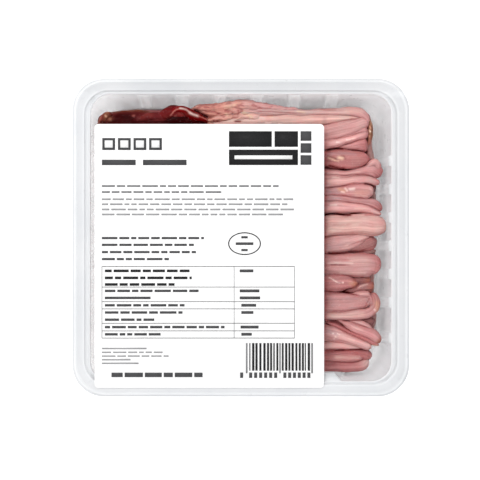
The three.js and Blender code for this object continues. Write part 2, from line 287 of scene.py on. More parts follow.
# Tray
tray = {
    "flangeCorner": 16.0, "flangeCornerTaper": 0.62,  # corner radius lost for each mm of inset
    "mouth": (75.3, 71.85), "mouthCorner": 10.0, "wallCornerGrowth": 0.5, "floorCornerTaper": 0.42,
    "wall": 0.8, "lipDrop": 1.3, "wallDraft": 4.7, "bendHeight": 5.0, "outerBendDrop": 0.2,
    # Inset, drop and greyness, which paints shade along the grooves and steps of the rim and leaves its
    # ridges white
    "flangeUnderside": [(6.4, 1.8, 0.3), (5.2, 0.8, 0.2), (2.5, 0.8, 0.2), (1.6, 1.9, 0.3), (0.9, 3.0, 0.4)],
    "flangeTop": [(0, 3, 0.4), (0, 1.8, 0.36), (0.3, 1.5, 0.3), (1.0, 1.3, 0.3), (1.3, 0.3, 0.1), (1.7, 0, 0),
                  (2.2, 0, 0.05), (2.7, 0.05, 0.2), (5.2, 0.05, 0.2), (5.6, 0, 0.05), (6.1, 0, 0.05),
                  (6.5, 0.7, 0.4), (6.95, 0.8, 0.44), (7.3, 0.7, 0.24)],
    "ledge": [(-1.0, 0.75, 0.2), (-0.75, 0.85, 0.4), (-0.45, 0.8, 0.0), (-0.15, 0.95, 0.0)],
    "bendMiddle": (6.5, 2.0), "floorInset": 9.4, "panelInset": 14.4, "panelSlope": 1.0,
    "rounding": 0.3, "roundingSteps": 3, "cornerSteps": 20, "wallTopDrop": 0.4, "wallTopInset": 7,
    "ribEdge": 0.35, "lugRows": [38.6 - 14.2 * i for i in range(6)] + [-50.2], "lugWidth": 5.5,
    "topRibColumns": [-1.3 + (i - 2.5) * 18.9 for i in range(6)], "topRibWidth": 6.5,
    "stepHalfLength": 50.4, "stepWidth": 4.0, "stepSlant": 3.4, "stepTopDrop": 0.45,
    # Heights, and drops from the lip, where the ribs change, with a ring just above and below each
    "ribHeights": (7, 12, 20, 28), "ribDrops": (1.0, 2.2, 4.6), "ringGap": 0.15,
}
lipHeight = sealHeight - tray["lipDrop"]
# Height and how far it stands out
lugProfile = [(lipHeight - 0.05, 1.3), (lipHeight - 2.2, 1.2), (lipHeight - 4.6, 0.45), (12, 0.45), (7, 0.2)]
ribProfile = [(lipHeight - 1, 0.1), (lipHeight - 1.6, 0.5), (12, 0.45), (7, 0.2)]
stepProfile = [(lipHeight - 0.05, 0.6), (lipHeight - 0.45, 4.0), (lipHeight - 2.3, 4.0), (28, 1.2), (12, 0.5),
               (7, 0.2)]
# Sides in turn: right going up, top going left, left going down, bottom going right
sideTurns = [(1, 0), (0, 1), (-1, 0), (0, -1)]
# Ribs of a side: their middles along it, width and profile
trayRibs = {
    0: (tray["lugRows"], tray["lugWidth"], lugProfile),
    1: ([-column for column in tray["topRibColumns"]], tray["topRibWidth"], ribProfile),
    2: ([-row for row in tray["lugRows"]], tray["lugWidth"], ribProfile),
}
stepSide = 3  # the bottom wall


# Inset of the inner wall from the mouth at a height
def wallInset(z):
    return tray["wallDraft"] * (lipHeight - z) / (lipHeight - tray["bendHeight"])


# Rounded rectangle as half sizes, corner radius, height, greyness that paints shade, how solid the plastic
# looks, and whether it is the inner side of the well
def flangeRow(inset, drop, grey=0.0):
    radius = tray["flangeCorner"] - inset * tray["flangeCornerTaper"]
    return [trayHigh.x - inset, trayHigh.y - inset, radius, sealHeight - drop, grey, 1.0, 0.0]


def wellRow(inset, z, grey=0.0, solid=0.0, thickness=0.0):
    onWall = min(inset, tray["wallDraft"])
    radius = tray["mouthCorner"] + abs(onWall) * tray["wallCornerGrowth"]
    radius -= (inset - onWall) * tray["floorCornerTaper"]
    halfX, halfY = [half + thickness - inset for half in tray["mouth"]]
    return [halfX, halfY, radius + thickness, z, grey, solid, 1.0]


# The same on the outside of the wall
def outerRow(inset, z, thickness=tray["wall"]):
    return wellRow(inset, z, thickness=thickness)[:-1] + [0.0]


# Places round a rounded rectangle: side, and where along it, or the angle on the corner after it
def ringPlaces(breaks, cornerSteps):
    places = []
    for side in range(4):
        places += [(side, mark, None) for mark in sorted(breaks[side])]
        places += [(side, None, step / cornerSteps) for step in range(cornerSteps + 1)]
    return places


def ringPoint(row, place):
    halfX, halfY, radius, z = row[:4]
    side, mark, share = place
    outX, outY = sideTurns[side]
    if mark is not None:
        half = halfX if side % 2 == 0 else halfY
        return Vector((outX * half - outY * mark, outY * half + outX * mark, z))
    angle = (side + share) * math.pi / 2
    nextX, nextY = sideTurns[(side + 1) % 4]
    centreX = (outX + nextX) * (halfX - radius)
    centreY = (outY + nextY) * (halfY - radius)
    return Vector((centreX + radius * math.cos(angle), centreY + radius * math.sin(angle), z))


# Closed skin through rows of rings, made from one grid that is wrapped round and merged
def wrapRings(bm, rows, places, shift=None, shadeAndAlpha=None):
    columns, levels = len(places), len(rows) + 1
    made = bmesh.ops.create_grid(bm, x_segments=columns, y_segments=levels, size=1)["verts"]
    for vert in made:
        place = places[round((vert.co.x + 1) / 2 * columns) % columns]
        level = round((vert.co.y + 1) / 2 * levels) - 1
        row = rows[int(clamp(level, 0, len(rows) - 1))]
        moved = Vector()
        if level in (-1, len(rows)):
            vert.co = (0, 0, row[3])
        else:
            if shift:
                moved = shift(row, place, level)
            vert.co = ringPoint(row, place) + moved
        if shadeAndAlpha:
            vert[shadeAndAlpha] = (row[4], row[5] - min(moved.length, plastic["ribClear"]), row[6])
    bmesh.ops.remove_doubles(bm, verts=made, dist=tiny)


# Marks along the sides where the ribs and the step rise and end, and their middles
def trayBreaks():
    edge, length = tray["ribEdge"], tray["stepHalfLength"]
    breaks = [set() for _ in sideTurns]
    for side, (middles, width, _) in trayRibs.items():
        for middle in middles:
            for offset in (width / 2 - edge, width / 2, 0.0):
                breaks[side] |= {round(middle - offset, 3), round(middle + offset, 3)}
    for end in (-1, 1):
        breaks[stepSide] |= {end * (length + out) for out in (-edge, 0, edge, tray["stepSlant"])}
    breaks[stepSide].add(0.0)
    return breaks


# How far a rib or the step stands proud of the inner wall
def ribRelief(z, place):
    side, mark, _ = place
    if mark is None:
        return Vector()
    proud, edge = 0.0, tray["ribEdge"] + tiny
    if side in trayRibs:
        middles, width, profile = trayRibs[side]
        if any(abs(mark - middle) <= width / 2 - tray["ribEdge"] + tiny for middle in middles):
            proud = profileAt(profile, z)
    elif abs(mark) <= tray["stepHalfLength"] + tiny:
        proud = profileAt(stepProfile, z)
    if side == stepSide and abs(abs(mark) - tray["stepHalfLength"]) <= edge:
        slant = tray["stepSlant"] * profileAt(stepProfile, z) / tray["stepWidth"]
        return Vector((-math.copysign(slant, mark), proud, 0))
    outX, outY = sideTurns[side]
    return Vector((-outX * proud, -outY * proud, 0))


# How the plastic looks: one milky plastic, with shade painted in as greyness and as the meat's warm shade.
# Pairs are a start and a length, as fade() takes them.
plastic = {
    "white": colour(234, 236, 239), "whitest": colour(242, 243, 245), "shadeGrey": colour(150, 152, 156),
    "meatShade": colour(168, 145, 141), "gloss": 0.3, "bump": (0.12, 0.0002), "hazeScale": 45.0,
    "patchScale": 260.0, "patchRoughness": (0.27, 0.4), "grainScale": 900.0,
    "opacity": (-1.8, 1.0, 0.03, 0.95),  # from and to how solid it looks, and the alpha at each
    "ribClear": 0.5,  # the most that a rib's relief takes off how solid it looks
    # Left wall, which light comes through, less so in its upper part
    "leftGlow": 1.5, "outerGlow": 0.3, "left": (-60, -12), "leftShift": 2, "glowHeight": 22, "glowLength": 6,
    "upper": (45, 15), "upperLoss": 0.55,
    # The two corners on the right
    "cornerClear": 0.45, "cornerHeight": (33, -14), "corners": [((55, 9), (-50, -8)), ((58, 11), (48, 16))],
    # Low walls, the foot of the top wall, and the top wall above it
    "lowClear": 0.35, "lowHeight": (20, -12), "lowReach": (58, -6),
    "footSolid": 0.7, "footHeight": (9, -7), "footReach": (58, 6),
    "topClear": 0.16, "topHeight": (9, 8), "topReach": (64, 4),
    # Painted shade: greyer towards the lip, and on the step in the bottom wall
    "highGrey": 0.3, "highHeight": (10, 28), "highReach": (66, -4),
    "stepGrey": 0.44, "stepY": -66.0, "stepDrop": 1.2, "stepMargin": 0.1,
    # Flange, painted light and shade: greyer rim and less grey groove along the top side, and paler left and
    # bottom sides
    "rimY": 73.0, "rimGrey": 0.27, "rimLoss": 0.4, "rimReach": (30, 40), "grooveY": 70.5, "grooveLoss": 0.5,
    "paleLoss": 0.4,
    # Painted shade low down beside the meat, warm with the reddish light thrown back from the meat
    "meatShadeHeight": (13, -13), "meatShadeReach": (-70, 20),
}


# Painted shade as greyness, how solid the plastic looks, and the meat's painted warm shade, from what a
# point's ring says
def plasticShadeAndAlpha(point, grey, solid, inner):
    look = plastic
    x, y, z = point
    if solid < 0.5:
        upper = fade(y, *look["upper"])
        left = fade(x - look["leftShift"] * upper, *look["left"])
        glow = look["leftGlow"] * (1 - look["upperLoss"] * upper) if inner else look["outerGlow"]
        solid -= left * fade(z, look["glowHeight"] * (1 - upper), look["glowLength"]) * glow
        corner = max(fade(x, *across) * fade(y, *along) for across, along in look["corners"])
        solid -= look["cornerClear"] * corner * fade(z, *look["cornerHeight"])
        if inner:
            solid -= look["lowClear"] * fade(z, *look["lowHeight"]) * fade(y, *look["lowReach"])
            foot = fade(z, *look["footHeight"]) * fade(y, *look["footReach"])
            solid += look["footSolid"] * foot * (1 - corner)
            solid -= look["topClear"] * fade(z, *look["topHeight"]) * fade(y, *look["topReach"])
            start, length = look["highHeight"]
            grey += look["highGrey"] * clamp((z - start) / length) * fade(y, *look["highReach"]) * (1 - left)
            onStep = y < look["stepY"] and abs(x) < tray["stepHalfLength"] + look["stepMargin"]
            if onStep and z > lipHeight - look["stepDrop"]:
                solid = 1.0
                grey = look["stepGrey"]
    elif y > look["rimY"]:
        grey = max(grey, look["rimGrey"] * (1 - look["rimLoss"] * fade(abs(x), *look["rimReach"])))
    elif y > look["grooveY"]:
        grey *= 1 - look["grooveLoss"]
    elif x < -tray["mouth"][0] or y < -tray["mouth"][1]:
        grey *= 1 - look["paleLoss"]
    meatShade = fade(z, *look["meatShadeHeight"]) * fade(y, *look["meatShadeReach"]) * fade(x, *look["meatShadeReach"])
    return grey, solid, inner * meatShade


def buildTray(material):
    wall, panel = tray["wall"], tray["panelInset"]
    bendInset, bendMiddle = tray["bendMiddle"]
    outside = [
        outerRow(panel + tray["panelSlope"] + wall, wall, 0.0),
        outerRow(panel + wall, 0, 0.0),
        outerRow(tray["floorInset"], 0),
        outerRow(bendInset, bendMiddle - wall),
        outerRow(tray["wallDraft"], tray["bendHeight"] - tray["outerBendDrop"]),
        outerRow(0, lipHeight - wall),
    ]
    flange = [flangeRow(*row) for row in tray["flangeUnderside"] + tray["flangeTop"]]
    rim = [wellRow(inset, sealHeight - drop, grey, 1.0) for inset, drop, grey in tray["ledge"]]
    rim.append(wellRow(0, lipHeight, 0, 1.0))
    floor = [
        wellRow(tray["wallDraft"], tray["bendHeight"]),
        wellRow(bendInset, bendMiddle),
        wellRow(tray["floorInset"], wall),
        wellRow(panel, wall),
        wellRow(panel + tray["panelSlope"], 2 * wall),
    ]
    line = roundedLine(outside + flange + rim + floor, tray["rounding"], tray["roundingSteps"])
    changes = [*tray["ribHeights"], *[lipHeight - drop for drop in tray["ribDrops"]]]
    levels = {z + side * tray["ringGap"] for z in changes for side in (-1, 1)}
    levels = sorted(levels | {lipHeight - tray["stepTopDrop"]}, reverse=True)
    # The ribs' rings go in after the last ring above the wall
    first = 1 + max(i for i, row in enumerate(line) if row[3] > lipHeight - tray["wallTopDrop"]
                    and row[0] < trayHigh.x - tray["wallTopInset"])
    rows = line[:first] + [wellRow(wallInset(z), z) for z in levels] + line[first:]

    def shift(row, place, level):
        return ribRelief(row[3], place) if first - 1 <= level <= first + len(levels) else Vector()

    bm = bmesh.new()
    shadeAndAlpha = bm.verts.layers.float_vector.new("shadeAndAlpha")
    wrapRings(bm, rows, ringPlaces(trayBreaks(), tray["cornerSteps"]), shift, shadeAndAlpha)
    for vert in bm.verts:
        vert[shadeAndAlpha] = plasticShadeAndAlpha(vert.co, *vert[shadeAndAlpha])
    piece = finishPiece(bm, "tray_shell", material)
    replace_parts(piece, "tray")


# Milky polypropylene: lets a little of what is behind it through
def trayPlastic():
    material, tree, shader = newMaterial("milkyPlastic", IOR=1.49, Specular_IOR_Level=plastic["gloss"])
    place = objectPlace(tree)
    shadeAndAlpha = newNode(tree, "ShaderNodeSeparateXYZ", Vector=stored(tree, "shadeAndAlpha", "Vector")).outputs
    haze = spread(tree, noiseOf(tree, place, plastic["hazeScale"], 3.0))
    white = mixColour(tree, haze, plastic["white"], plastic["whitest"])
    # Greyness and the meat's warm shade stored on the points are painted shade
    shadeGrey = mixColour(tree, shadeAndAlpha["X"], white, plastic["shadeGrey"])
    patches = noiseOf(tree, place, plastic["patchScale"])
    grain = noiseOf(tree, place, plastic["grainScale"])
    feed(tree, shader["Base Color"], mixColour(tree, shadeAndAlpha["Z"], shadeGrey, plastic["meatShade"]))
    feed(tree, shader["Alpha"], ranged(tree, shadeAndAlpha["Y"], *plastic["opacity"]))
    feed(tree, shader["Roughness"], spread(tree, patches, *plastic["patchRoughness"]))
    feed(tree, shader["Normal"], bumped(tree, grain, *plastic["bump"]))
    return material


# Meat
meatTints = {
    "pink": colour(216, 173, 169), "pale": colour(230, 196, 186), "rose": colour(211, 160, 158),
    "mauve": colour(193, 150, 148), "red": colour(188, 126, 125), "deep": colour(104, 52, 50),
    "russet": colour(176, 112, 96), "fat": colour(242, 216, 184), "amber": colour(134, 98, 76),
    "brown": colour(118, 66, 48), "tan": colour(224, 178, 146), "paintedGlint": colour(255, 238, 228),
    "grey": colour(188, 158, 160), "yellow": colour(232, 200, 156), "dusk": colour(190, 134, 131),
    "root": colour(212, 158, 142), "ochre": colour(156, 114, 90), "clay": colour(168, 122, 119),
    "shade": colour(140, 96, 94), "flush": colour(200, 144, 142), "murk": colour(168, 140, 134),
    "petal": colour(205, 166, 162), "bloom": colour(218, 188, 182), "heather": colour(199, 156, 153),
    # The dark piece
    "wine": colour(110, 40, 42), "black": colour(52, 2, 4), "liver": colour(142, 62, 58),
    "ruby": colour(130, 6, 12), "umber": colour(134, 82, 62), "garnet": colour(112, 28, 30),
    "blushAndGlint": colour(196, 122, 112),
}
# Painted shade colours, for folds and for deep gaps between the tongues
foldShadeTint = colour(164, 94, 94)
gapShadeTint = colour(92, 12, 12)
strandDefaults = {
    "tint": "pink", "depth": 3.0, "power": 2.0, "rings": 96, "sides": 48, "overlap": 1.2,
    "relief": 0.5, "foldLength": 40.0, "foldWidth": 3.0, "streak": 0.12, "lump": 0.4, "knobs": 0.0,
    "startLength": 4.0, "tipLength": 4.0, "tipTint": None, "tipReach": 6.0, "edgeShade": 0.42,
    "rootTint": None, "rootReach": 20.0,
}
# What all tongues share
meat = {
    "wallGap": 1.1, "cornerGap": 1.5, "lowest": 1.8, "filmGap": 1.2,
    "samples": 200, "crowding": 0.03, "topCrowding": 0.4,  # rings crowd at the ends and sides at the top
    "slopeShare": 0.3, "depthShare": 0.45, "depthExtra": 0.8, "endFlattening": 0.7, "endReach": 1.6,
    # Length, width and shift between tongues of each relief, and how the relief is shaped
    "finer": (16, 1.4, 4.7), "streaks": (22, 0.7, 5.7), "knobs": (3.2, 1.5, 2.3), "foldShift": 3.1,
    "finerShare": 0.5, "foldSoftness": 0.008, "finerSoftness": 0.01, "foldLevel": 0.3, "lumpSize": 6,
    "knobDetail": 2.1, "knobDetailShare": 0.5, "wetSwell": 0.15, "grainShift": 7.3,
    # Tone from tongue to tongue, and of folds and streaks, and shade of edges, creases and knobs
    "tone": 0.06, "skinTone": 0.9, "foldTone": 0.26, "streakTone": 0.1, "rootStart": 1.4,
    "edgePower": 2.4, "undersideShade": 0.4, "creaseShade": 0.9, "knobShade": 0.5, "knobSlope": 3.2,
}


# Room inside the tray that the meat keeps within
def keepInside(point):
    inset = wallInset(clamp(point.z, tray["bendHeight"], lipHeight)) + meat["wallGap"]
    limitX, limitY = [half - inset for half in tray["mouth"]]
    corner = tray["mouthCorner"] + meat["cornerGap"]
    overX, overY = abs(point.x) - (limitX - corner), abs(point.y) - (limitY - corner)
    if overX > 0 and overY > 0:
        out = math.hypot(overX, overY)
        if out > corner:
            point.x = math.copysign(limitX - corner + overX * corner / out, point.x)
            point.y = math.copysign(limitY - corner + overY * corner / out, point.y)
    point.x = clamp(point.x, -limitX, limitX)
    point.y = clamp(point.y, -limitY, limitY)
    point.z = clamp(point.z, meat["lowest"], sealHeight - meat["filmGap"])


# Creases between and along the tongues: line of x and y, width, depth and painted shade
creases = [
    # Deep gaps, painted dark with shade
    ([(42.4, 43.7), (47.4, 44.9), (55, 44.3), (62.5, 43.4), (65, 43.8)], 0.6, 0.7, 0.72),
    ([(42.4, 43.9), (47, 44.9), (53, 44.5)], 0.8, 0.5, 1.0),
    ([(42.4, 36.4), (46.4, 35.4), (50, 34.5), (53.5, 34.4), (57.5, 35.1), (63, 36.6),
      (65.6, 38.6)], 0.6, 0.7, 0.7),
    ([(43, 36.6), (46.4, 35.7), (50, 34.8), (54, 34.7)], 0.9, 0.4, 0.95),
    ([(61.6, 27.2), (64, 26.9), (66.8, 26.4)], 0.6, 0.8, 0.9),
    ([(42.4, 11.7), (47.4, 12.2), (52.5, 11.5), (55.5, 11.8), (58, 12.2), (66, 11.9)], 0.5, 0.6, 0.7),
    ([(43.5, 11.6), (48.5, 11.8), (52.5, 11.2), (57, 11.5)], 0.85, 0.5, 1.0),
    ([(42.4, -8), (47, -7.9), (52.5, -7.6), (56, -7.1), (60, -7.3), (67, -6.6)], 0.6, 0.7, 0.75),
    ([(42.4, -8), (47, -8), (53, -7.8), (57, -7.4)], 0.85, 0.4, 1.0),
    ([(42.4, -27.1), (47.4, -27.9), (52, -28), (56.5, -28.7), (61, -29.6)], 0.6, 0.6, 0.8),
    ([(50, -27.6), (56, -28.2)], 0.9, 0.4, 0.95),
    ([(42.4, -42), (46, -42.6), (50, -42.4)], 0.8, 0.6, 0.85),
    ([(49, -42.4), (55, -42), (63, -41.2), (66, -40.2)], 0.45, 0.5, 0.6),
    ([(42.4, -57), (47, -57), (54, -56.8)], 0.7, 0.7, 0.9), ([(52, -56.8), (62.7, -56.7)], 0.5, 0.4, 0.6),
    # Where the dark piece meets the roots, and hollows among them
    ([(-25, 64.9), (-21.6, 63.4), (-18.4, 61.6), (-16, 60.4)], 0.9, 1.6, 1.0),
    ([(-14.4, 64), (-12.4, 62.8), (-10.4, 62)], 0.5, 0.5, 0.65),
    ([(-2.4, 67), (-0.8, 66)], 0.5, 0.4, 0.6), ([(-1.8, 64.6), (-1.2, 63), (-1.9, 61.2)], 0.5, 0.4, 0.6),
    ([(-14.8, 58.8), (-9.6, 58.3)], 0.5, 0.7, 0.9), ([(-3.4, 58.5), (0.4, 58.4)], 0.5, 0.7, 0.9),
    ([(-22, 66.6), (-16, 67), (-11, 67.2)], 0.5, 0.3, 0.6),
    ([(-9, 64.4), (-5, 63.4), (-4, 61)], 0.4, 0.3, 0.45), ([(-19, 64), (-15, 63.6)], 0.4, 0.3, 0.5),
    ([(6.5, 63.5), (12, 63.4), (20, 63), (30, 62.4)], 0.35, 0.25, 0.5),
    ([(34, 64.6), (40, 64.4), (48, 63.9)], 0.3, 0.15, 0.4),
    # Soft folds
    ([(20, 61.7), (40, 61.9), (48.4, 62), (55, 61.5), (58, 61), (62, 60.4)], 0.4, 0.16, 0.45),
    ([(42.9, 57), (46, 57.6), (50, 58.3), (54.5, 59.3), (57, 60)], 0.4, 0.2, 0.55),
    ([(43.6, 48.9), (50, 50.2), (55, 51.2), (57.5, 52), (60, 52.7), (63.6, 53.5)], 0.45, 0.2, 0.55),
    ([(50, 46.2), (55, 47.5), (57.5, 48.5), (61.5, 49.7), (64.4, 50.7)], 0.45, 0.24, 0.6),
    ([(56, 52.4), (59, 53.6), (62, 55.2), (64, 56)], 0.35, 0.1, 0.3),
    ([(42.9, 31.3), (50, 31), (55, 31.2), (61.5, 31.7), (65, 31), (69.2, 29)], 0.4, 0.2, 0.5),
    ([(42.9, 25), (47.4, 25.5), (52.5, 26.3), (56, 27.3), (60.6, 27.5)], 0.45, 0.24, 0.6),
    ([(42.9, 21.5), (48.4, 21.6), (52.5, 21.1), (56, 20.5), (63.6, 19.9), (66.4, 19.8)], 0.45, 0.24, 0.6),
    ([(52.5, 18.2), (55, 17.5), (61.5, 16.7), (66.6, 14.9), (70.1, 12.4)], 0.4, 0.2, 0.5),
    ([(42.9, 1.2), (46.4, 2), (52, 2.2), (60, 2.2), (63.6, 1.7), (67.6, 0.9)], 0.45, 0.2, 0.5),
    ([(45, 6.4), (50, 6.2), (55.4, 6.5)], 0.4, 0.12, 0.3),
    ([(52.5, -4.9), (57.5, -2.9), (62.5, -0.9), (65.1, 0.4)], 0.4, 0.16, 0.45),
    ([(42.4, -14), (46, -13.9), (52, -14), (56, -14.4)], 0.35, 0.3, 0.85),
    ([(66.6, -9.6), (67.8, -12), (68, -15), (66.8, -18.6)], 0.3, 0.1, 0.3),
    ([(44, -11.2), (50, -11.2), (56, -11.4)], 0.35, 0.1, 0.3),
    ([(42.4, -18), (50, -19.1), (55, -19.3), (58.5, -19.8), (66.6, -19.8)], 0.5, 0.28, 0.65),
    ([(55.5, -19.9), (57.6, -20.9), (59, -22.2), (59.4, -23.5), (58.8, -25.2),
      (56.5, -26)], 0.4, 0.24, 0.6),
    ([(59.5, -23.6), (62, -23.2), (66, -22.8)], 0.4, 0.16, 0.5),
    ([(65.1, -29.9), (64.1, -31.9), (63, -33.9), (62.5, -35.7)], 0.4, 0.24, 0.55),
    ([(44, -37.3), (48, -37.1), (52.5, -37), (56, -36.5), (59, -36), (63, -35.7)], 0.4, 0.24, 0.55),
    ([(55.5, -30), (59, -30), (63.5, -30.2)], 0.35, 0.16, 0.5),
    ([(52, -42), (56, -42.6), (61, -44.4), (66, -46.6)], 0.35, 0.16, 0.5),
    ([(48.4, -43), (52.5, -45.7), (56, -47.6), (63, -50.3), (68, -53.4)], 0.4, 0.2, 0.6),
    ([(44.9, -43.5), (50, -46.6), (55, -49.2), (60, -51.2), (65.6, -54.1)], 0.4, 0.24, 0.65),
    ([(43.9, -52.1), (48, -52), (52.5, -52.5), (56, -53.5), (61.5, -55.4)], 0.35, 0.16, 0.45),
    ([(47.5, -62.6), (52.6, -63.3), (56.1, -63.3), (60.1, -62.6)], 0.4, 0.2, 0.55),
    ([(56.1, -59.3), (60.1, -59.5), (62, -61), (60.8, -62.4)], 0.35, 0.16, 0.45),
    # Painted shadow of the label's edge on the meat beside it
    ([(42.1, 60), (42.1, 20), (42.1, -20), (42.1, -68)], 1.3, 0.0, 0.74),
]
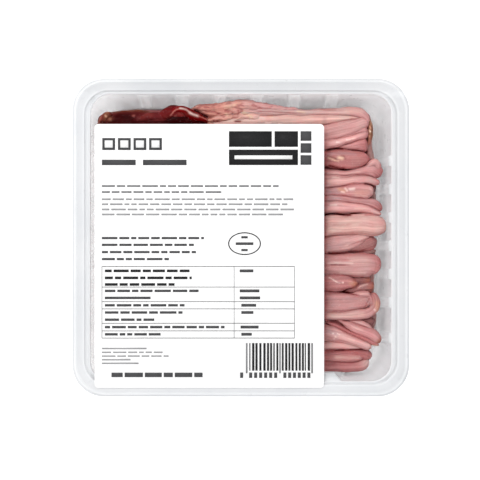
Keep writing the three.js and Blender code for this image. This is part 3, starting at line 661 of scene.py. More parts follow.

# Marks on the skin: line of x and y, width, tint and how much of it. The glint marks, and the narrow pale
# lines along crests, are painted highlights.
marks = [
    ([(52.5, 63.6), (61, 63.6)], 1.2, "pale", 0.6), ([(40, 64.5), (47.5, 64.3)], 0.5, "russet", 0.4),
    ([(64.9, 56.2), (65.4, 55)], 0.4, "tan", 0.9), ([(64.6, 54), (65.1, 53.4)], 0.5, "fat", 0.9),
    ([(65.4, 59), (65.9, 57)], 0.3, "tan", 0.6), ([(64.6, 51.4), (65, 50.8)], 0.3, "tan", 0.7),
    ([(48, 47.9), (49.4, 47.9)], 0.35, "paintedGlint", 0.8), ([(53, 49.1), (55, 49.2)], 0.35, "paintedGlint", 0.8),
    ([(56, 49.6), (57.4, 49.9)], 0.35, "paintedGlint", 0.7), ([(60, 48), (64, 47)], 2.0, "red", 0.5),
    ([(63.4, 56), (63.8, 51)], 0.8, "red", 0.5),
    # Fat spots and lines on the dark tongue below them
    ([(49.3, 40.1), (50.8, 39.7)], 0.8, "fat", 0.85),
    ([(43.9, 40.1), (46.9, 38.9), (49, 38.4)], 0.35, "fat", 0.7),
    ([(43.4, 41.2), (46, 40.4), (48.2, 39.3)], 0.35, "brown", 0.7),
    ([(50.4, 41.3), (51.9, 40.7), (52.3, 39.5)], 0.35, "brown", 0.55),
    ([(43.4, 42), (50, 42.4), (57, 42)], 0.8, "grey", 0.5), ([(61, 41.5), (64, 39.5)], 1.4, "red", 0.4),
    ([(44, 32.3), (52, 32.2), (60, 33)], 0.4, "pale", 0.5), ([(68.6, 33), (70.2, 30.4)], 1.6, "red", 0.6),
    ([(67, 39.4), (69, 38.6)], 0.9, "pale", 0.5), ([(46, 30.2), (49.4, 30.2)], 0.35, "paintedGlint", 0.5),
    ([(44, 28.4), (56, 29)], 1.0, "pale", 0.4), ([(43, 23.4), (48.5, 23.4)], 1.8, "grey", 0.6),
    ([(49.6, 24.3), (52, 23.6)], 1.1, "tan", 0.7), ([(52.4, 24.7), (53.4, 23.6)], 0.5, "paintedGlint", 0.9),
    ([(54.7, 24.3), (56.8, 24.4)], 0.6, "paintedGlint", 1.0), ([(50.6, 23), (51.8, 22.8)], 0.4, "paintedGlint", 0.8),
    ([(57.5, 20.9), (63.4, 20.8)], 0.35, "pale", 0.7), ([(58, 22.6), (63, 22.8)], 1.4, "tan", 0.25),
    ([(65, 25), (66.3, 22)], 0.5, "pale", 0.5), ([(43, 19.9), (50, 19.8)], 1.2, "grey", 0.5),
    ([(68, 17), (71, 13.8)], 1.5, "red", 0.4), ([(45, 16.3), (48, 16.3)], 0.4, "paintedGlint", 0.6),
    ([(57.5, 14.7), (64, 14.5)], 0.4, "pale", 0.8),
    # Broad pale tongue with a yellow tip
    ([(73.4, 9.4), (74, 7), (73.4, 4.2)], 0.8, "yellow", 0.7),
    ([(62.5, 11.4), (70.6, 11.2)], 0.6, "red", 0.7), ([(62, 7), (71, 7.4)], 2.2, "rose", 0.5),
    ([(44, 4), (52, 3.9), (60, 4)], 1.0, "pale", 0.6), ([(44, 9), (60, 9.6)], 1.0, "rose", 0.3),
    ([(66, 3), (72, 4)], 1.0, "rose", 0.3), ([(53, -4), (58, -2), (63, 0)], 0.7, "pale", 0.4),
    ([(44, -5), (50, -4.6)], 1.6, "grey", 0.4),
    ([(42.4, -12.9), (50, -12.8), (56, -13.1)], 0.35, "paintedGlint", 0.5),
    ([(55, -8.5), (63.6, -8.6)], 0.9, "red", 0.35), ([(56, -11.6), (63, -11.6)], 2.0, "pale", 0.35),
    ([(50, -17.8), (62.5, -17.9)], 0.6, "pale", 0.6), ([(69.6, -12), (70.4, -17)], 1.6, "red", 0.4),
    ([(56.8, -22), (57.8, -23.6), (56.6, -25)], 0.9, "russet", 0.7),
    ([(55, -23.4), (57, -23.6)], 1.0, "tan", 0.5),
    ([(44.4, -20.2), (46.4, -21.3), (48.4, -22.6), (50, -23.1)], 0.25, "paintedGlint", 0.75),
    ([(51, -22.7), (51.4, -22.8)], 0.35, "paintedGlint", 1.0),
    ([(59, -25.4), (61.5, -24.2), (64, -23.6)], 0.4, "pale", 0.6),
    ([(66.6, -24), (67.6, -26.5)], 0.8, "russet", 0.6), ([(57, -28.4), (64, -28.2)], 0.6, "pale", 0.4),
    ([(44, -31), (58, -31)], 0.6, "grey", 0.4), ([(58, -34.6), (62, -33.4)], 1.4, "red", 0.3),
    ([(68.6, -33), (69.2, -37)], 1.4, "tan", 0.6), ([(67.2, -36.4), (67.7, -36.9)], 0.4, "paintedGlint", 0.7),
    ([(44, -39.2), (52, -39.4), (61, -38.6)], 1.3, "pale", 0.6),
    ([(56, -45.2), (61, -46.6)], 0.7, "pale", 0.5),
    ([(50.5, -49.3), (53, -50.5), (57, -52)], 0.6, "pale", 0.7),
    ([(66.4, -54.8), (68.8, -54.8)], 0.5, "fat", 0.7), ([(65, -56), (69, -55.6)], 0.6, "brown", 0.5),
    ([(69.6, -52), (69.8, -55)], 0.8, "russet", 0.6), ([(44, -47), (48, -49)], 1.6, "grey", 0.5),
    ([(46, -48.3), (46.5, -48.5)], 0.3, "paintedGlint", 0.9), ([(47.5, -50), (47.9, -50.2)], 0.3, "paintedGlint", 0.9),
    ([(46.8, -51.1), (47.2, -51.1)], 0.3, "paintedGlint", 0.8),
    ([(48.6, -48.6), (49.6, -49)], 0.3, "paintedGlint", 0.9),
    ([(45.6, -54.2), (52, -54.4), (59, -55)], 0.8, "pale", 0.5),
    ([(48, -60.6), (59.6, -60.7)], 0.9, "pale", 0.45), ([(44, -66.5), (62, -66)], 1.2, "rose", 0.4),
    # The dark piece: pale rim, black painted shade in its hollows and along its lower edge, brown top edge,
    # and a painted highlight along the wet arc of its roll
    ([(-71.6, 58.4), (-70.6, 61.2), (-68.6, 63.4), (-65, 64.2)], 0.6, "blushAndGlint", 0.6),
    ([(-68.6, 62), (-66.2, 59.4)], 1.8, "umber", 0.9), ([(-67.4, 63.6), (-64.6, 64.8)], 0.7, "tan", 0.6),
    ([(-68.4, 61.4), (-68.1, 61)], 0.5, "tan", 0.9), ([(-70, 61), (-70, 58.6)], 0.8, "garnet", 0.7),
    ([(-66.2, 60), (-65.8, 59)], 0.6, "tan", 0.5),
    ([(-62.4, 60.4), (-58, 60.6), (-55.6, 60)], 2.9, "black", 0.97),
    ([(-54.7, 61.4), (-54.1, 61.4)], 0.5, "blushAndGlint", 0.7),
    ([(-64, 64), (-55, 64.6), (-46, 64)], 0.9, "umber", 0.95),
    ([(-50, 60.6), (-47.4, 62), (-45.2, 61.8)], 1.1, "liver", 0.6),
    ([(-38.4, 60.8), (-36.6, 60.4)], 0.7, "liver", 0.4),
    ([(-33.4, 61.2), (-32.8, 61.2)], 0.5, "blushAndGlint", 0.45),
    ([(-35.6, 61.4), (-33.4, 63.9), (-30.7, 64.9)], 0.35, "blushAndGlint", 0.9),
    ([(-30.7, 65), (-27.9, 64.4), (-25.6, 62.6)], 0.42, "paintedGlint", 0.75),
    ([(-25.8, 62.7), (-24.2, 61.9), (-21.8, 61.2)], 0.6, "paintedGlint", 1.0),
    ([(-21.6, 61.2), (-19.4, 60.4), (-17.1, 59.3)], 0.3, "blushAndGlint", 1.0),
    ([(-31.4, 62.3), (-27.2, 61.8)], 0.8, "liver", 0.6),
    ([(-71, 58.2), (-50, 58.2), (-38, 58.2), (-18, 58.2)], 0.6, "black", 0.95),
    ([(-38, 58.6), (-34, 60), (-30, 58.8), (-26, 58.2)], 1.2, "black", 0.8),
    # Pale lobes and cream on the roots
    ([(1.2, 62.8), (3.6, 61.6), (5.2, 60.8)], 0.9, "fat", 0.85),
    ([(7, 60.2), (13, 59.8), (19, 59.6)], 0.8, "pale", 0.7),
    ([(-8.2, 65.6), (-5.4, 65.6)], 0.9, "fat", 0.4), ([(-7.6, 62.4), (-7, 61.4)], 0.6, "fat", 0.5),
    ([(-3.6, 66.6), (-0.6, 67.8)], 0.6, "fat", 0.4), ([(-13, 60.2), (-8, 60.6)], 0.8, "pale", 0.4),
    ([(28, 63.6), (32, 63)], 0.3, "fat", 0.7), ([(14, 61), (16, 60.8)], 0.4, "fat", 0.6),
]
mapSizes = {"cell": 0.25, "margin": 12, "stepsPerSpan": 4, "reach": 2.6, "endFade": 0.15, "endStrength": 0.3}


# Soft line on a map: the part of the map that it reaches, and how strong it is there
def softLine(points, width, endFade=0.0):
    cell, (halfX, halfY) = mapSizes["cell"], tray["mouth"]
    steps = mapSizes["stepsPerSpan"] * (len(points) - 1)
    line = [curvePoint(points, i / steps) for i in range(steps + 1)]
    reach = mapSizes["reach"] * width
    sides = []
    for values, half in zip(zip(*line), tray["mouth"]):
        first, last = int((min(values) + half - reach) / cell), int((max(values) + half + reach) / cell)
        sides.append(np.arange(first, last + 2))
    columns, rows = sides
    xs = (columns * cell - halfX)[:, None]
    ys = (rows * cell - halfY)[None, :]
    nearest = np.full((len(columns), len(rows)), np.inf)
    share = np.zeros_like(nearest)
    for i, ((ax, ay), (bx, by)) in enumerate(zip(line, line[1:])):
        dx, dy = bx - ax, by - ay
        along = np.clip(((xs - ax) * dx + (ys - ay) * dy) / (dx * dx + dy * dy), 0, 1)
        gap = np.hypot(xs - ax - along * dx, ys - ay - along * dy)
        share = np.where(gap < nearest, (i + along) / steps, share)
        nearest = np.minimum(gap, nearest)
    strength = np.exp(-(nearest / width) ** 2)
    if endFade:
        strength *= np.clip(np.minimum(share, 1 - share) / endFade, mapSizes["endStrength"], 1)
    return np.ix_(columns, rows), strength


# Maps over the tray that every point of the meat looks up: crease depth and painted shade, mark tint with its
# painted highlights, wetness
def drawMaps():
    size = [int(2 * half / mapSizes["cell"]) + mapSizes["margin"] for half in tray["mouth"]]
    depth, shade, wet, amount = [np.zeros(size) for _ in range(4)]
    tint = np.zeros((*size, 3))
    for points, width, deep, dark in creases:
        window, strength = softLine(points, width, mapSizes["endFade"])
        depth[window] = np.maximum(depth[window], strength * deep)
        shade[window] = np.maximum(shade[window], strength * dark)
    for points, width, name, share in marks:
        window, strength = softLine(points, width)
        strength *= share
        cover = strength[..., None]
        tint[window] = tint[window] * (1 - cover) + np.array(meatTints[name]) * cover
        amount[window] = amount[window] * (1 - strength) + strength
        if name in ("paintedGlint", "fat"):
            wet[window] = np.maximum(wet[window], strength)
    return depth, shade, wet, amount, tint


creaseDepth, creaseShade, wetness, markAmount, markTint = drawMaps()


def mapPlace(point):
    return tuple(int((value + half) / mapSizes["cell"]) for value, half in zip(point, tray["mouth"]))


def roundedEnd(distance, length):
    return 1.0 if distance >= length else math.sqrt(max(0.0, 1 - (1 - distance / length) ** 2))


# Ring of a tongue at a share of its line: x, y, width, top, direction, distance and how full it is
def strandRing(line, lengths, look, share):
    place = clamp(share - meat["crowding"] * math.sin(2 * math.pi * share)) * meat["samples"]
    i = min(int(place), meat["samples"] - 1)
    x, y, width, top = [mix(a, b, place - i) for a, b in zip(line[i], line[i + 1])]
    before, after = line[max(i - 2, 0)], line[min(i + 3, meat["samples"])]
    ahead = Vector((after[0] - before[0], after[1] - before[1])).normalized()
    distance = mix(lengths[i], lengths[i + 1], place - i)
    full = roundedEnd(distance, look["startLength"]) * roundedEnd(lengths[-1] - distance, look["tipLength"])
    if share <= 0 or share >= 1:
        full = 0.0
    return x, y, width * look["overlap"], top, ahead, distance, full


# Relief of the skin: how far it swells, and the fold, streak and knob in that
def skinRelief(point, distance, lateral, seed, look):
    def relief(length, width, shift):
        return noise.noise(Vector((distance / length, lateral / width, seed * shift)))

    fold = relief(look["foldLength"], look["foldWidth"], meat["foldShift"])
    finer = relief(*meat["finer"])
    streak = relief(*meat["streaks"])
    fold = math.sqrt(fold * fold + meat["foldSoftness"])
    fold += meat["finerShare"] * math.sqrt(finer * finer + meat["finerSoftness"])
    swell = (fold - meat["foldLevel"]) * look["relief"] + streak * look["streak"]
    swell += noise.noise(point / meat["lumpSize"] + Vector((seed, 0, 0))) * look["lump"]
    knob = 0.0
    if look["knobs"]:
        length, width, shift = meat["knobs"]
        knobPlace = Vector((distance / length, lateral / width, seed * shift))
        knob = noise.noise(knobPlace) + meat["knobDetailShare"] * noise.noise(knobPlace * meat["knobDetail"])
        knob *= look["knobs"]
    return swell + knob, fold, streak, knob


# One tongue: a soft tube along rows of x, y, width and height of the top, shaped from a wrapped grid
def addStrand(bm, layers, seed, route, **changes):
    look = {**strandDefaults, **changes}
    line = [curvePoint(route, i / meat["samples"]) for i in range(meat["samples"] + 1)]
    lengths = [0.0]
    for a, b in zip(line, line[1:]):
        lengths.append(lengths[-1] + math.dist(a[:2], b[:2]) + meat["slopeShare"] * abs(a[3] - b[3]))
    tone = 1 + meat["tone"] * uneven(seed + 0.3)
    tint = tuple(c * tone for c in meatTints[look["tint"]])
    tipTint = meatTints[look["tipTint"]] if look["tipTint"] else tint
    rings = {}
    made = bmesh.ops.create_grid(bm, x_segments=look["rings"], y_segments=look["sides"], size=1)["verts"]
    for vert in made:
        share, g = (vert.co.x + 1) / 2, vert.co.y
        key = round(share, 6)
        if key not in rings:
            rings[key] = strandRing(line, lengths, look, share)
        x, y, width, top, ahead, distance, full = rings[key]
        angle = math.pi * g * (1 - meat["topCrowding"] + meat["topCrowding"] * g * g)
        side, up = math.sin(angle), math.cos(angle)
        roundX = math.copysign(abs(side) ** (2 / look["power"]), side)
        roundZ = math.copysign(abs(up) ** (2 / look["power"]), up)
        lateral = roundX * width / 2
        deep = min(look["depth"], meat["depthShare"] * width + meat["depthExtra"])
        across = lateral * full
        point = Vector((x - ahead.y * across, y + ahead.x * across,
                        top - deep + roundZ * deep * full ** meat["endFlattening"]))
        swell, fold, streak, knob = skinRelief(point, distance, lateral, seed, look)
        body = min(1.0, full * meat["endReach"])
        point += Vector((-ahead.y * side, ahead.x * side, up)) * (swell * body)
        keepInside(point)
        place = mapPlace(point)
        skin = blend(tint, tipTint, smooth(1 - (lengths[-1] - distance) / look["tipReach"]))
        if look["rootTint"]:
            rootShare = smooth(meat["rootStart"] - distance / look["rootReach"])
            skin = blend(skin, meatTints[look["rootTint"]], rootShare)
        skin = [c * (meat["skinTone"] + meat["foldTone"] * fold + meat["streakTone"] * streak) for c in skin]
        shade = meat["undersideShade"]
        if up > 0:
            point.z -= (creaseDepth[place] - meat["wetSwell"] * wetness[place]) * body
            edgeShade = abs(roundX) ** meat["edgePower"] * look["edgeShade"]
            shade = max(edgeShade, float(creaseShade[place]) * meat["creaseShade"])
            bare = 1 - float(markAmount[place])
            skin = [c * bare + float(m) for c, m in zip(skin, markTint[place])]
        if look["knobs"]:
            shade = max(shade, smooth(-knob * meat["knobSlope"]) * meat["knobShade"])
        vert.co = point
        vert[layers["tint"]] = (*skin, shade)
        vert[layers["grain"]] = (distance, lateral, seed * meat["grainShift"])
        vert[layers["wet"]] = float(wetness[place])
    bmesh.ops.remove_doubles(bm, verts=made, dist=tiny)


# Painted shade where the meat lies deeper than what stands round it
hollow = {
    "cell": 0.7, "margin": 8, "base": 24.0, "reach": 4, "start": 0.8, "full": 5.6,
    "foldGain": 1.5, "foldShare": 0.85, "deepStart": 0.5, "dryness": 1.5,
}


def hollowPlace(point, heights):
    return tuple(int(value / hollow["cell"] + count / 2) for value, count in zip(point, heights.shape))


# Heights of the top of the meat over the tray, each the mean of what stands round it
def hollowMap(meshes):
    size = [2 * int(half / hollow["cell"]) + hollow["margin"] for half in tray["mouth"]]
    tops = np.full(size, hollow["base"])
    for bm in meshes:
        for vert in bm.verts:
            place = hollowPlace(vert.co, tops)
            tops[place] = max(tops[place], vert.co.z)
    reach = range(-hollow["reach"], hollow["reach"] + 1)
    sums = sum(np.roll(tops, (i, j), (0, 1)) for i in reach for j in reach)
    return sums / len(reach) ** 2


# Painted shade: skin turns to a darker fold colour and then to that of a deep gap as its shade and its depth
# grow
def shadeHollows(bm, layers, around):
    for vert in bm.verts:
        *skin, shade = vert[layers["tint"]]
        depth = (around[hollowPlace(vert.co, around)] - vert.co.z - hollow["start"]) / hollow["full"]
        dark = 1 - (1 - shade) * (1 - smooth(depth))
        fold = [min(c, limit) for c, limit in zip(foldShadeTint, skin)]
        tone = blend(skin, fold, min(1.0, dark * hollow["foldGain"]) * hollow["foldShare"])
        deepest = [min(c, limit) for c, limit in zip(gapShadeTint, skin)]
        deepShare = fade(dark, hollow["deepStart"], 1 - hollow["deepStart"])
        vert[layers["tint"]] = (*blend(tone, deepest, deepShare), 1.0)
        vert[layers["wet"]] -= hollow["dryness"] * dark


def meatMesh():
    bm = bmesh.new()
    kinds = bm.verts.layers
    return bm, {"tint": kinds.float_color.new("tint"), "grain": kinds.float_vector.new("grain"),
                "wet": kinds.float.new("wet")}


# Right-hand row. A tongue's free part starts at the label's edge, and the rest lies under the label, unless
# the tongue is marked free.
upperRow = [
    # Brown rim where the row meets the wall
    {"route": [(62.4, 62.4, 1.4, 30.8), (64.4, 60.4, 1.6, 31.4), (65.4, 57.4, 2, 31.6),
               (65.6, 54, 2.2, 31.4), (65.2, 50.4, 2, 31), (64.4, 46.6, 1.6, 30.4)],
     "tint": "amber", "tipTint": "ochre", "free": True, "rings": 70, "sides": 28, "knobs": 0.3},
    {"route": [(49, 45.3, 1.5, 31.8), (53, 45.7, 2.8, 32.4), (57, 46.4, 4.6, 32.8), (60, 47, 6, 32.8),
               (62.6, 47.3, 6.4, 32.2), (64.4, 47.5, 4.5, 30.8)],
     "tint": "rose", "tipTint": "red", "free": True, "tipLength": 2.4},
    {"route": [(42.4, 47, 4.5, 33.2), (47.4, 47.7, 4.5, 33.6), (52.4, 49.2, 3.6, 33.8),
               (56, 50.2, 3.4, 33.8), (59, 51.2, 3.8, 33.6), (62, 52.3, 4.2, 33), (64.6, 53.2, 3, 31.6)],
     "tint": "pink", "tipTint": "rose", "tipLength": 2.4},
    {"route": [(52, 51, 1.5, 32.2), (56, 52, 2, 32.8), (59, 52.8, 3, 33.1), (61.6, 53.8, 4, 33),
               (64.2, 54.8, 3.6, 31.8)],
     "tint": "rose", "free": True, "tipLength": 2},
    {"route": [(42.4, 53, 7.2, 33.4), (50, 54.5, 7.6, 34), (55, 55.7, 7.4, 34.2), (59, 56.8, 6.4, 33.9),
               (62, 57.8, 6, 33.3), (65, 58, 4, 32)],
     "tint": "pink", "tipTint": "rose", "tipLength": 2.6},
    {"route": [(42.4, 40.5, 7, 33.2), (47.4, 39.8, 8.6, 34.2), (52.4, 39.5, 8.8, 34.7),
               (57.4, 39.4, 8.1, 34.6), (61, 39.5, 7, 34), (63.6, 39.6, 5, 33), (65.6, 39.8, 2.6, 31.6)],
     "tint": "dusk", "tipTint": "red", "tipLength": 3, "overlap": 1.1},
    {"route": [(42.4, 33, 3.4, 32.4), (47.4, 32.6, 3.4, 32.8), (52.5, 32.2, 3, 32.9),
               (56.5, 32.8, 3.2, 33), (60, 33.4, 4, 33.2), (63.6, 33.9, 5, 33.3), (66.6, 34, 7, 33),
               (69, 32.6, 6.4, 32.2), (70.6, 30.8, 4, 30.8)],
     "tint": "rose", "tipTint": "red", "tipReach": 7, "tipLength": 3},
    {"route": [(61.6, 35, 1.5, 32.2), (64, 36.2, 2, 32.9), (66, 37.4, 2.8, 33.4), (67.8, 37.8, 3.4, 33.4),
               (68.9, 36.6, 3.4, 33), (69.4, 34.4, 3, 32.4)],
     "tint": "pink", "tipTint": "rose", "free": True, "rings": 60, "sides": 32, "tipLength": 2},
    {"route": [(42.4, 28.3, 6, 33), (47.4, 28.4, 5.8, 33.6), (52.4, 28.7, 4.8, 33.8),
               (57.5, 29.3, 4.4, 33.9), (62.5, 29.4, 4, 33.6), (66.1, 28.8, 3.4, 33),
               (68.7, 28, 2.4, 32.2), (70.2, 27.5, 1.8, 31.4)],
     "tint": "pink", "tipLength": 2.4},
    {"route": [(58.2, 25.1, 3.5, 30), (62.2, 25.4, 4, 30.6), (66, 24.8, 5, 30.6), (68.2, 23.2, 4.4, 29.4)],
     "tint": "deep", "free": True, "rings": 40, "sides": 28},
    {"route": [(42.4, 20, 3.2, 32.2), (47.5, 19.9, 3.2, 32.6), (52.5, 19.4, 3, 32.9), (56, 18.8, 3, 33),
               (60, 18.2, 3, 33), (63.6, 17.9, 3.5, 32.8), (66.6, 17.1, 4.3, 32.4), (69.2, 15.6, 4, 31.6),
               (71.2, 13.6, 2.6, 30.4)],
     "tint": "mauve", "tipTint": "red", "tipReach": 8, "tipLength": 3},
    {"route": [(42.4, 23.3, 3.6, 32.4), (47.4, 23.4, 4, 32.8), (51.5, 23.4, 4.6, 33.2),
               (55, 23.5, 6, 33.9), (59, 23.6, 6.8, 34.2), (62, 23.5, 7, 34), (64.8, 23, 6, 33.2),
               (66.8, 22.2, 4.2, 31.8)],
     "tint": "rose", "tipTint": "pink", "tipLength": 2, "power": 2.4},
    {"route": [(42.4, 15.7, 6, 32.8), (47.4, 15.8, 5.8, 33.4), (52.4, 15.4, 5.8, 33.8),
               (56.5, 15.1, 4.8, 33.8), (61, 14.7, 4, 33.6), (65.1, 13.9, 3.4, 33.2),
               (68.1, 12.9, 2.6, 32.6), (71, 11.8, 1.8, 31.6)],
     "tint": "pink", "tipLength": 2.4},
    {"route": [(52.6, -6.2, 2.4, 30.8), (57.6, -5.2, 3.2, 31.4), (61.1, -4.1, 5, 31.8),
               (64.2, -3, 6.6, 31.8), (66.7, -1.9, 5.8, 31.2), (69, -0.8, 3.4, 29.8)],
     "tint": "clay", "free": True, "tipLength": 3},
    {"route": [(42.4, -3.5, 7.8, 32.6), (47.4, -2.7, 8.6, 33), (52.5, -2.2, 8.2, 33.2),
               (56, -1.6, 7.4, 33.2), (59, -0.8, 6, 33), (62, 0, 3.8, 32.6), (65, 0.6, 2, 32)],
     "tint": "petal", "tipLength": 4},
    {"route": [(42.4, 5.9, 9.2, 34.4), (46.4, 6.4, 9.6, 34.9), (52.4, 6.4, 9, 35), (57.4, 6.8, 9.6, 35.1),
               (62.4, 6.7, 10, 35), (66.5, 6.2, 10, 34.6), (70, 6.3, 8.8, 33.8), (72.6, 6.7, 6, 32.6),
               (74.2, 7.1, 3.4, 31.2)],
     "tint": "pale", "tipLength": 2.6, "power": 2.3, "overlap": 1.1},
]
lowerRow = [
    # Dim meat low down, a dark strip that stands in for the shade in the notches beside the wall
    {"route": [(60, 64, 3, 27), (64, 60, 3, 28), (64.6, 50, 2.8, 28.6), (65.2, 43, 3.2, 28.6),
               (67.4, 34, 3.4, 28.4), (66.4, 22, 3.4, 28.6), (67.4, 8, 3.4, 28), (64.8, -2, 3.6, 28.2),
               (66, -7.4, 3.4, 28.2), (66.6, -14, 3.4, 28.4), (65.4, -22, 3.4, 28.4),
               (65.8, -33, 3.4, 28), (66.8, -43, 3.4, 27.8), (63.4, -50, 3, 26.8), (62, -55, 3, 26)],
     "tint": "murk", "free": True, "rings": 170, "sides": 28, "knobs": 0.3, "edgeShade": 0.1},
    # Dark filler for the shade in the notch below the broad tongue
    {"route": [(57, -7.6, 2.6, 30), (62, -7.4, 3.4, 30.2), (66, -7, 3.6, 30), (68.6, -6.8, 2.4, 29)],
     "tint": "murk", "free": True, "rings": 40, "sides": 28},
    {"route": [(54, -21.1, 2, 31), (59, -21.4, 3.4, 31.4), (62.2, -21.4, 4, 31.2), (66, -21.4, 3.6, 30.2)],
     "tint": "shade", "tipTint": "russet", "free": True, "rings": 60, "knobs": 0.25},
    {"route": [(52.1, -27.5, 2, 30.4), (56.7, -26.7, 2.8, 30.8), (60.2, -25.6, 3.6, 31),
               (63.2, -25, 4.8, 30.9), (65.8, -25, 5, 30.4), (67.6, -25.4, 3.8, 29.2)],
     "tint": "clay", "tipTint": "russet", "free": True, "rings": 60, "tipLength": 2, "knobs": 0.25},
    {"route": [(42.4, -13.5, 9.6, 33.2), (50, -13.8, 10.2, 33.8), (55, -13.8, 11, 34),
               (60, -13.8, 11.6, 34), (63.5, -13.8, 11.6, 33.7), (66.6, -14, 10.4, 33),
               (69.2, -15, 7.6, 31.9), (70.8, -15.6, 4.6, 30.6)],
     "tint": "heather", "tipTint": "flush", "tipReach": 9, "tipLength": 2.6, "power": 2.3,
     "overlap": 1.06},
    {"route": [(42.4, -22.9, 7, 33.2), (46.4, -22.6, 7.6, 33.9), (51, -22.5, 7, 34),
               (54.4, -22.6, 5.6, 33.8), (57, -23, 4.2, 33.2), (59.2, -23.3, 2.6, 32)],
     "tint": "flush", "tipTint": "russet", "tipReach": 4, "tipLength": 3},
    {"route": [(52, -30, 1.5, 32), (56, -29.2, 1.8, 32.5), (59, -28.7, 2.4, 32.9), (62, -28.5, 2.6, 33),
               (64, -28.8, 2.4, 32.6), (65.6, -29.6, 1.8, 31.8)],
     "tint": "rose", "free": True, "rings": 50, "sides": 28, "tipLength": 2},
    {"route": [(42.4, -32.9, 9.6, 33), (47.4, -32.9, 9, 33.6), (52.4, -32.9, 8.2, 33.9),
               (57.5, -32.7, 7.2, 33.9), (61, -32.4, 6.6, 33.6), (63.6, -31.9, 5.6, 33),
               (65.8, -31.3, 4, 32)],
     "tint": "heather", "tipLength": 2.4, "relief": 0.7},
    {"route": [(56, -31, 4, 31.2), (62, -31.6, 6, 31.9), (66, -32.4, 6, 31.9), (67, -36, 4.4, 31)],
     "tint": "rose", "free": True, "rings": 50, "sides": 32},
    {"route": [(42.4, -39.3, 3.6, 32.4), (47.4, -39.4, 4, 32.8), (52.5, -39.3, 4.5, 33.2),
               (57.5, -39, 5, 33.5), (61, -38.6, 5, 33.6), (64, -38, 4.8, 33.4), (66.6, -36.4, 4.6, 33),
               (67.9, -34.2, 4.6, 32.7), (68, -31.7, 4.4, 32.5), (67.3, -29.4, 3.6, 32.2),
               (66.2, -28, 2.6, 31.6)],
     "tint": "pink", "tipTint": "dusk", "tipReach": 14, "tipLength": 2, "overlap": 1.1},
    {"route": [(58, -40.4, 3, 30), (63.4, -42, 5, 30.4), (66, -42.2, 5.4, 30), (68.2, -41.6, 3.4, 29)],
     "tint": "shade", "free": True, "rings": 40, "sides": 28},
    {"route": [(42.6, -59.3, 4.6, 29), (50, -59.1, 4.8, 29.8), (56.2, -58.9, 4.8, 30),
               (61.3, -59.2, 4.8, 29.8), (64.4, -60.2, 4.8, 29), (66, -61.6, 4, 27.8)],
     "tint": "red", "tipTint": "dusk", "overlap": 1.2},
    {"route": [(42.6, -64.9, 5.6, 28.8), (50, -65.1, 5.8, 29.6), (55.2, -65.2, 6, 29.8),
               (60, -64.8, 5.8, 29.5), (62.8, -63.6, 5.2, 29), (64.8, -61.6, 4.4, 28)],
     "tint": "red", "tipTint": "bloom", "tipReach": 9, "overlap": 1.05},
    {"route": [(42.5, -60.6, 3.5, 30), (47.6, -60.7, 3.6, 30.6), (52.6, -61.1, 3.6, 30.8),
               (56.7, -61.1, 3.5, 30.8), (59.7, -61.1, 3, 30.4), (62, -61.2, 2.2, 29.6)],
     "tint": "dusk", "rings": 60},
    {"route": [(42.5, -54.5, 3.6, 31.2), (47.5, -54.4, 3.6, 31.6), (52.6, -54.7, 3, 31.7),
               (56.6, -55.1, 2.4, 31.6), (60.6, -55.8, 1.6, 31)],
     "tint": "pink", "rings": 60},
    {"route": [(51, -40.6, 1.2, 30.4), (55, -41.4, 1.6, 31.2), (59, -42.5, 2.2, 32),
               (61.6, -43.3, 2.6, 32), (63.8, -44.5, 2.2, 31.6), (66.4, -46.1, 1.6, 30.8)],
     "tint": "pink", "free": True, "rings": 50, "sides": 28},
    {"route": [(42, -41, 1.6, 30.4), (46.4, -43.6, 2, 31.2), (51, -46.1, 2.4, 31.6),
               (55, -47.9, 2.4, 31.9), (59, -49.5, 2.5, 32), (62.6, -51, 2.6, 32),
               (65.7, -52.4, 2.8, 31.8), (68.2, -53.7, 2.5, 31.2), (70, -54.6, 1.9, 30.4)],
     "tint": "red", "free": True, "rings": 70, "sides": 32},
    {"route": [(47, -40.6, 1.5, 30.4), (51.6, -42.6, 2.2, 31.6), (55, -44.5, 3.5, 32.4),
               (58, -46.1, 4.5, 32.9), (61, -47.2, 4.8, 33), (64, -48.3, 5, 32.9),
               (66.6, -49.6, 5.3, 32.6), (68.7, -51.4, 4.8, 31.9), (70.6, -53.2, 3.4, 30.6)],
     "tint": "rose", "tipTint": "russet", "tipReach": 4, "free": True, "tipLength": 2.4},
    {"route": [(42.4, -48.1, 7.2, 32), (46.4, -48.8, 6.6, 32.8), (50.4, -49.8, 5.3, 33.3),
               (54, -51, 4.5, 33.4), (57.5, -52.2, 4.3, 33.4), (61, -53.5, 4, 33.1),
               (63.6, -54.6, 3.5, 32.5), (66.2, -55.5, 2.6, 31.4)],
     "tint": "pink", "tipLength": 2.4},
]

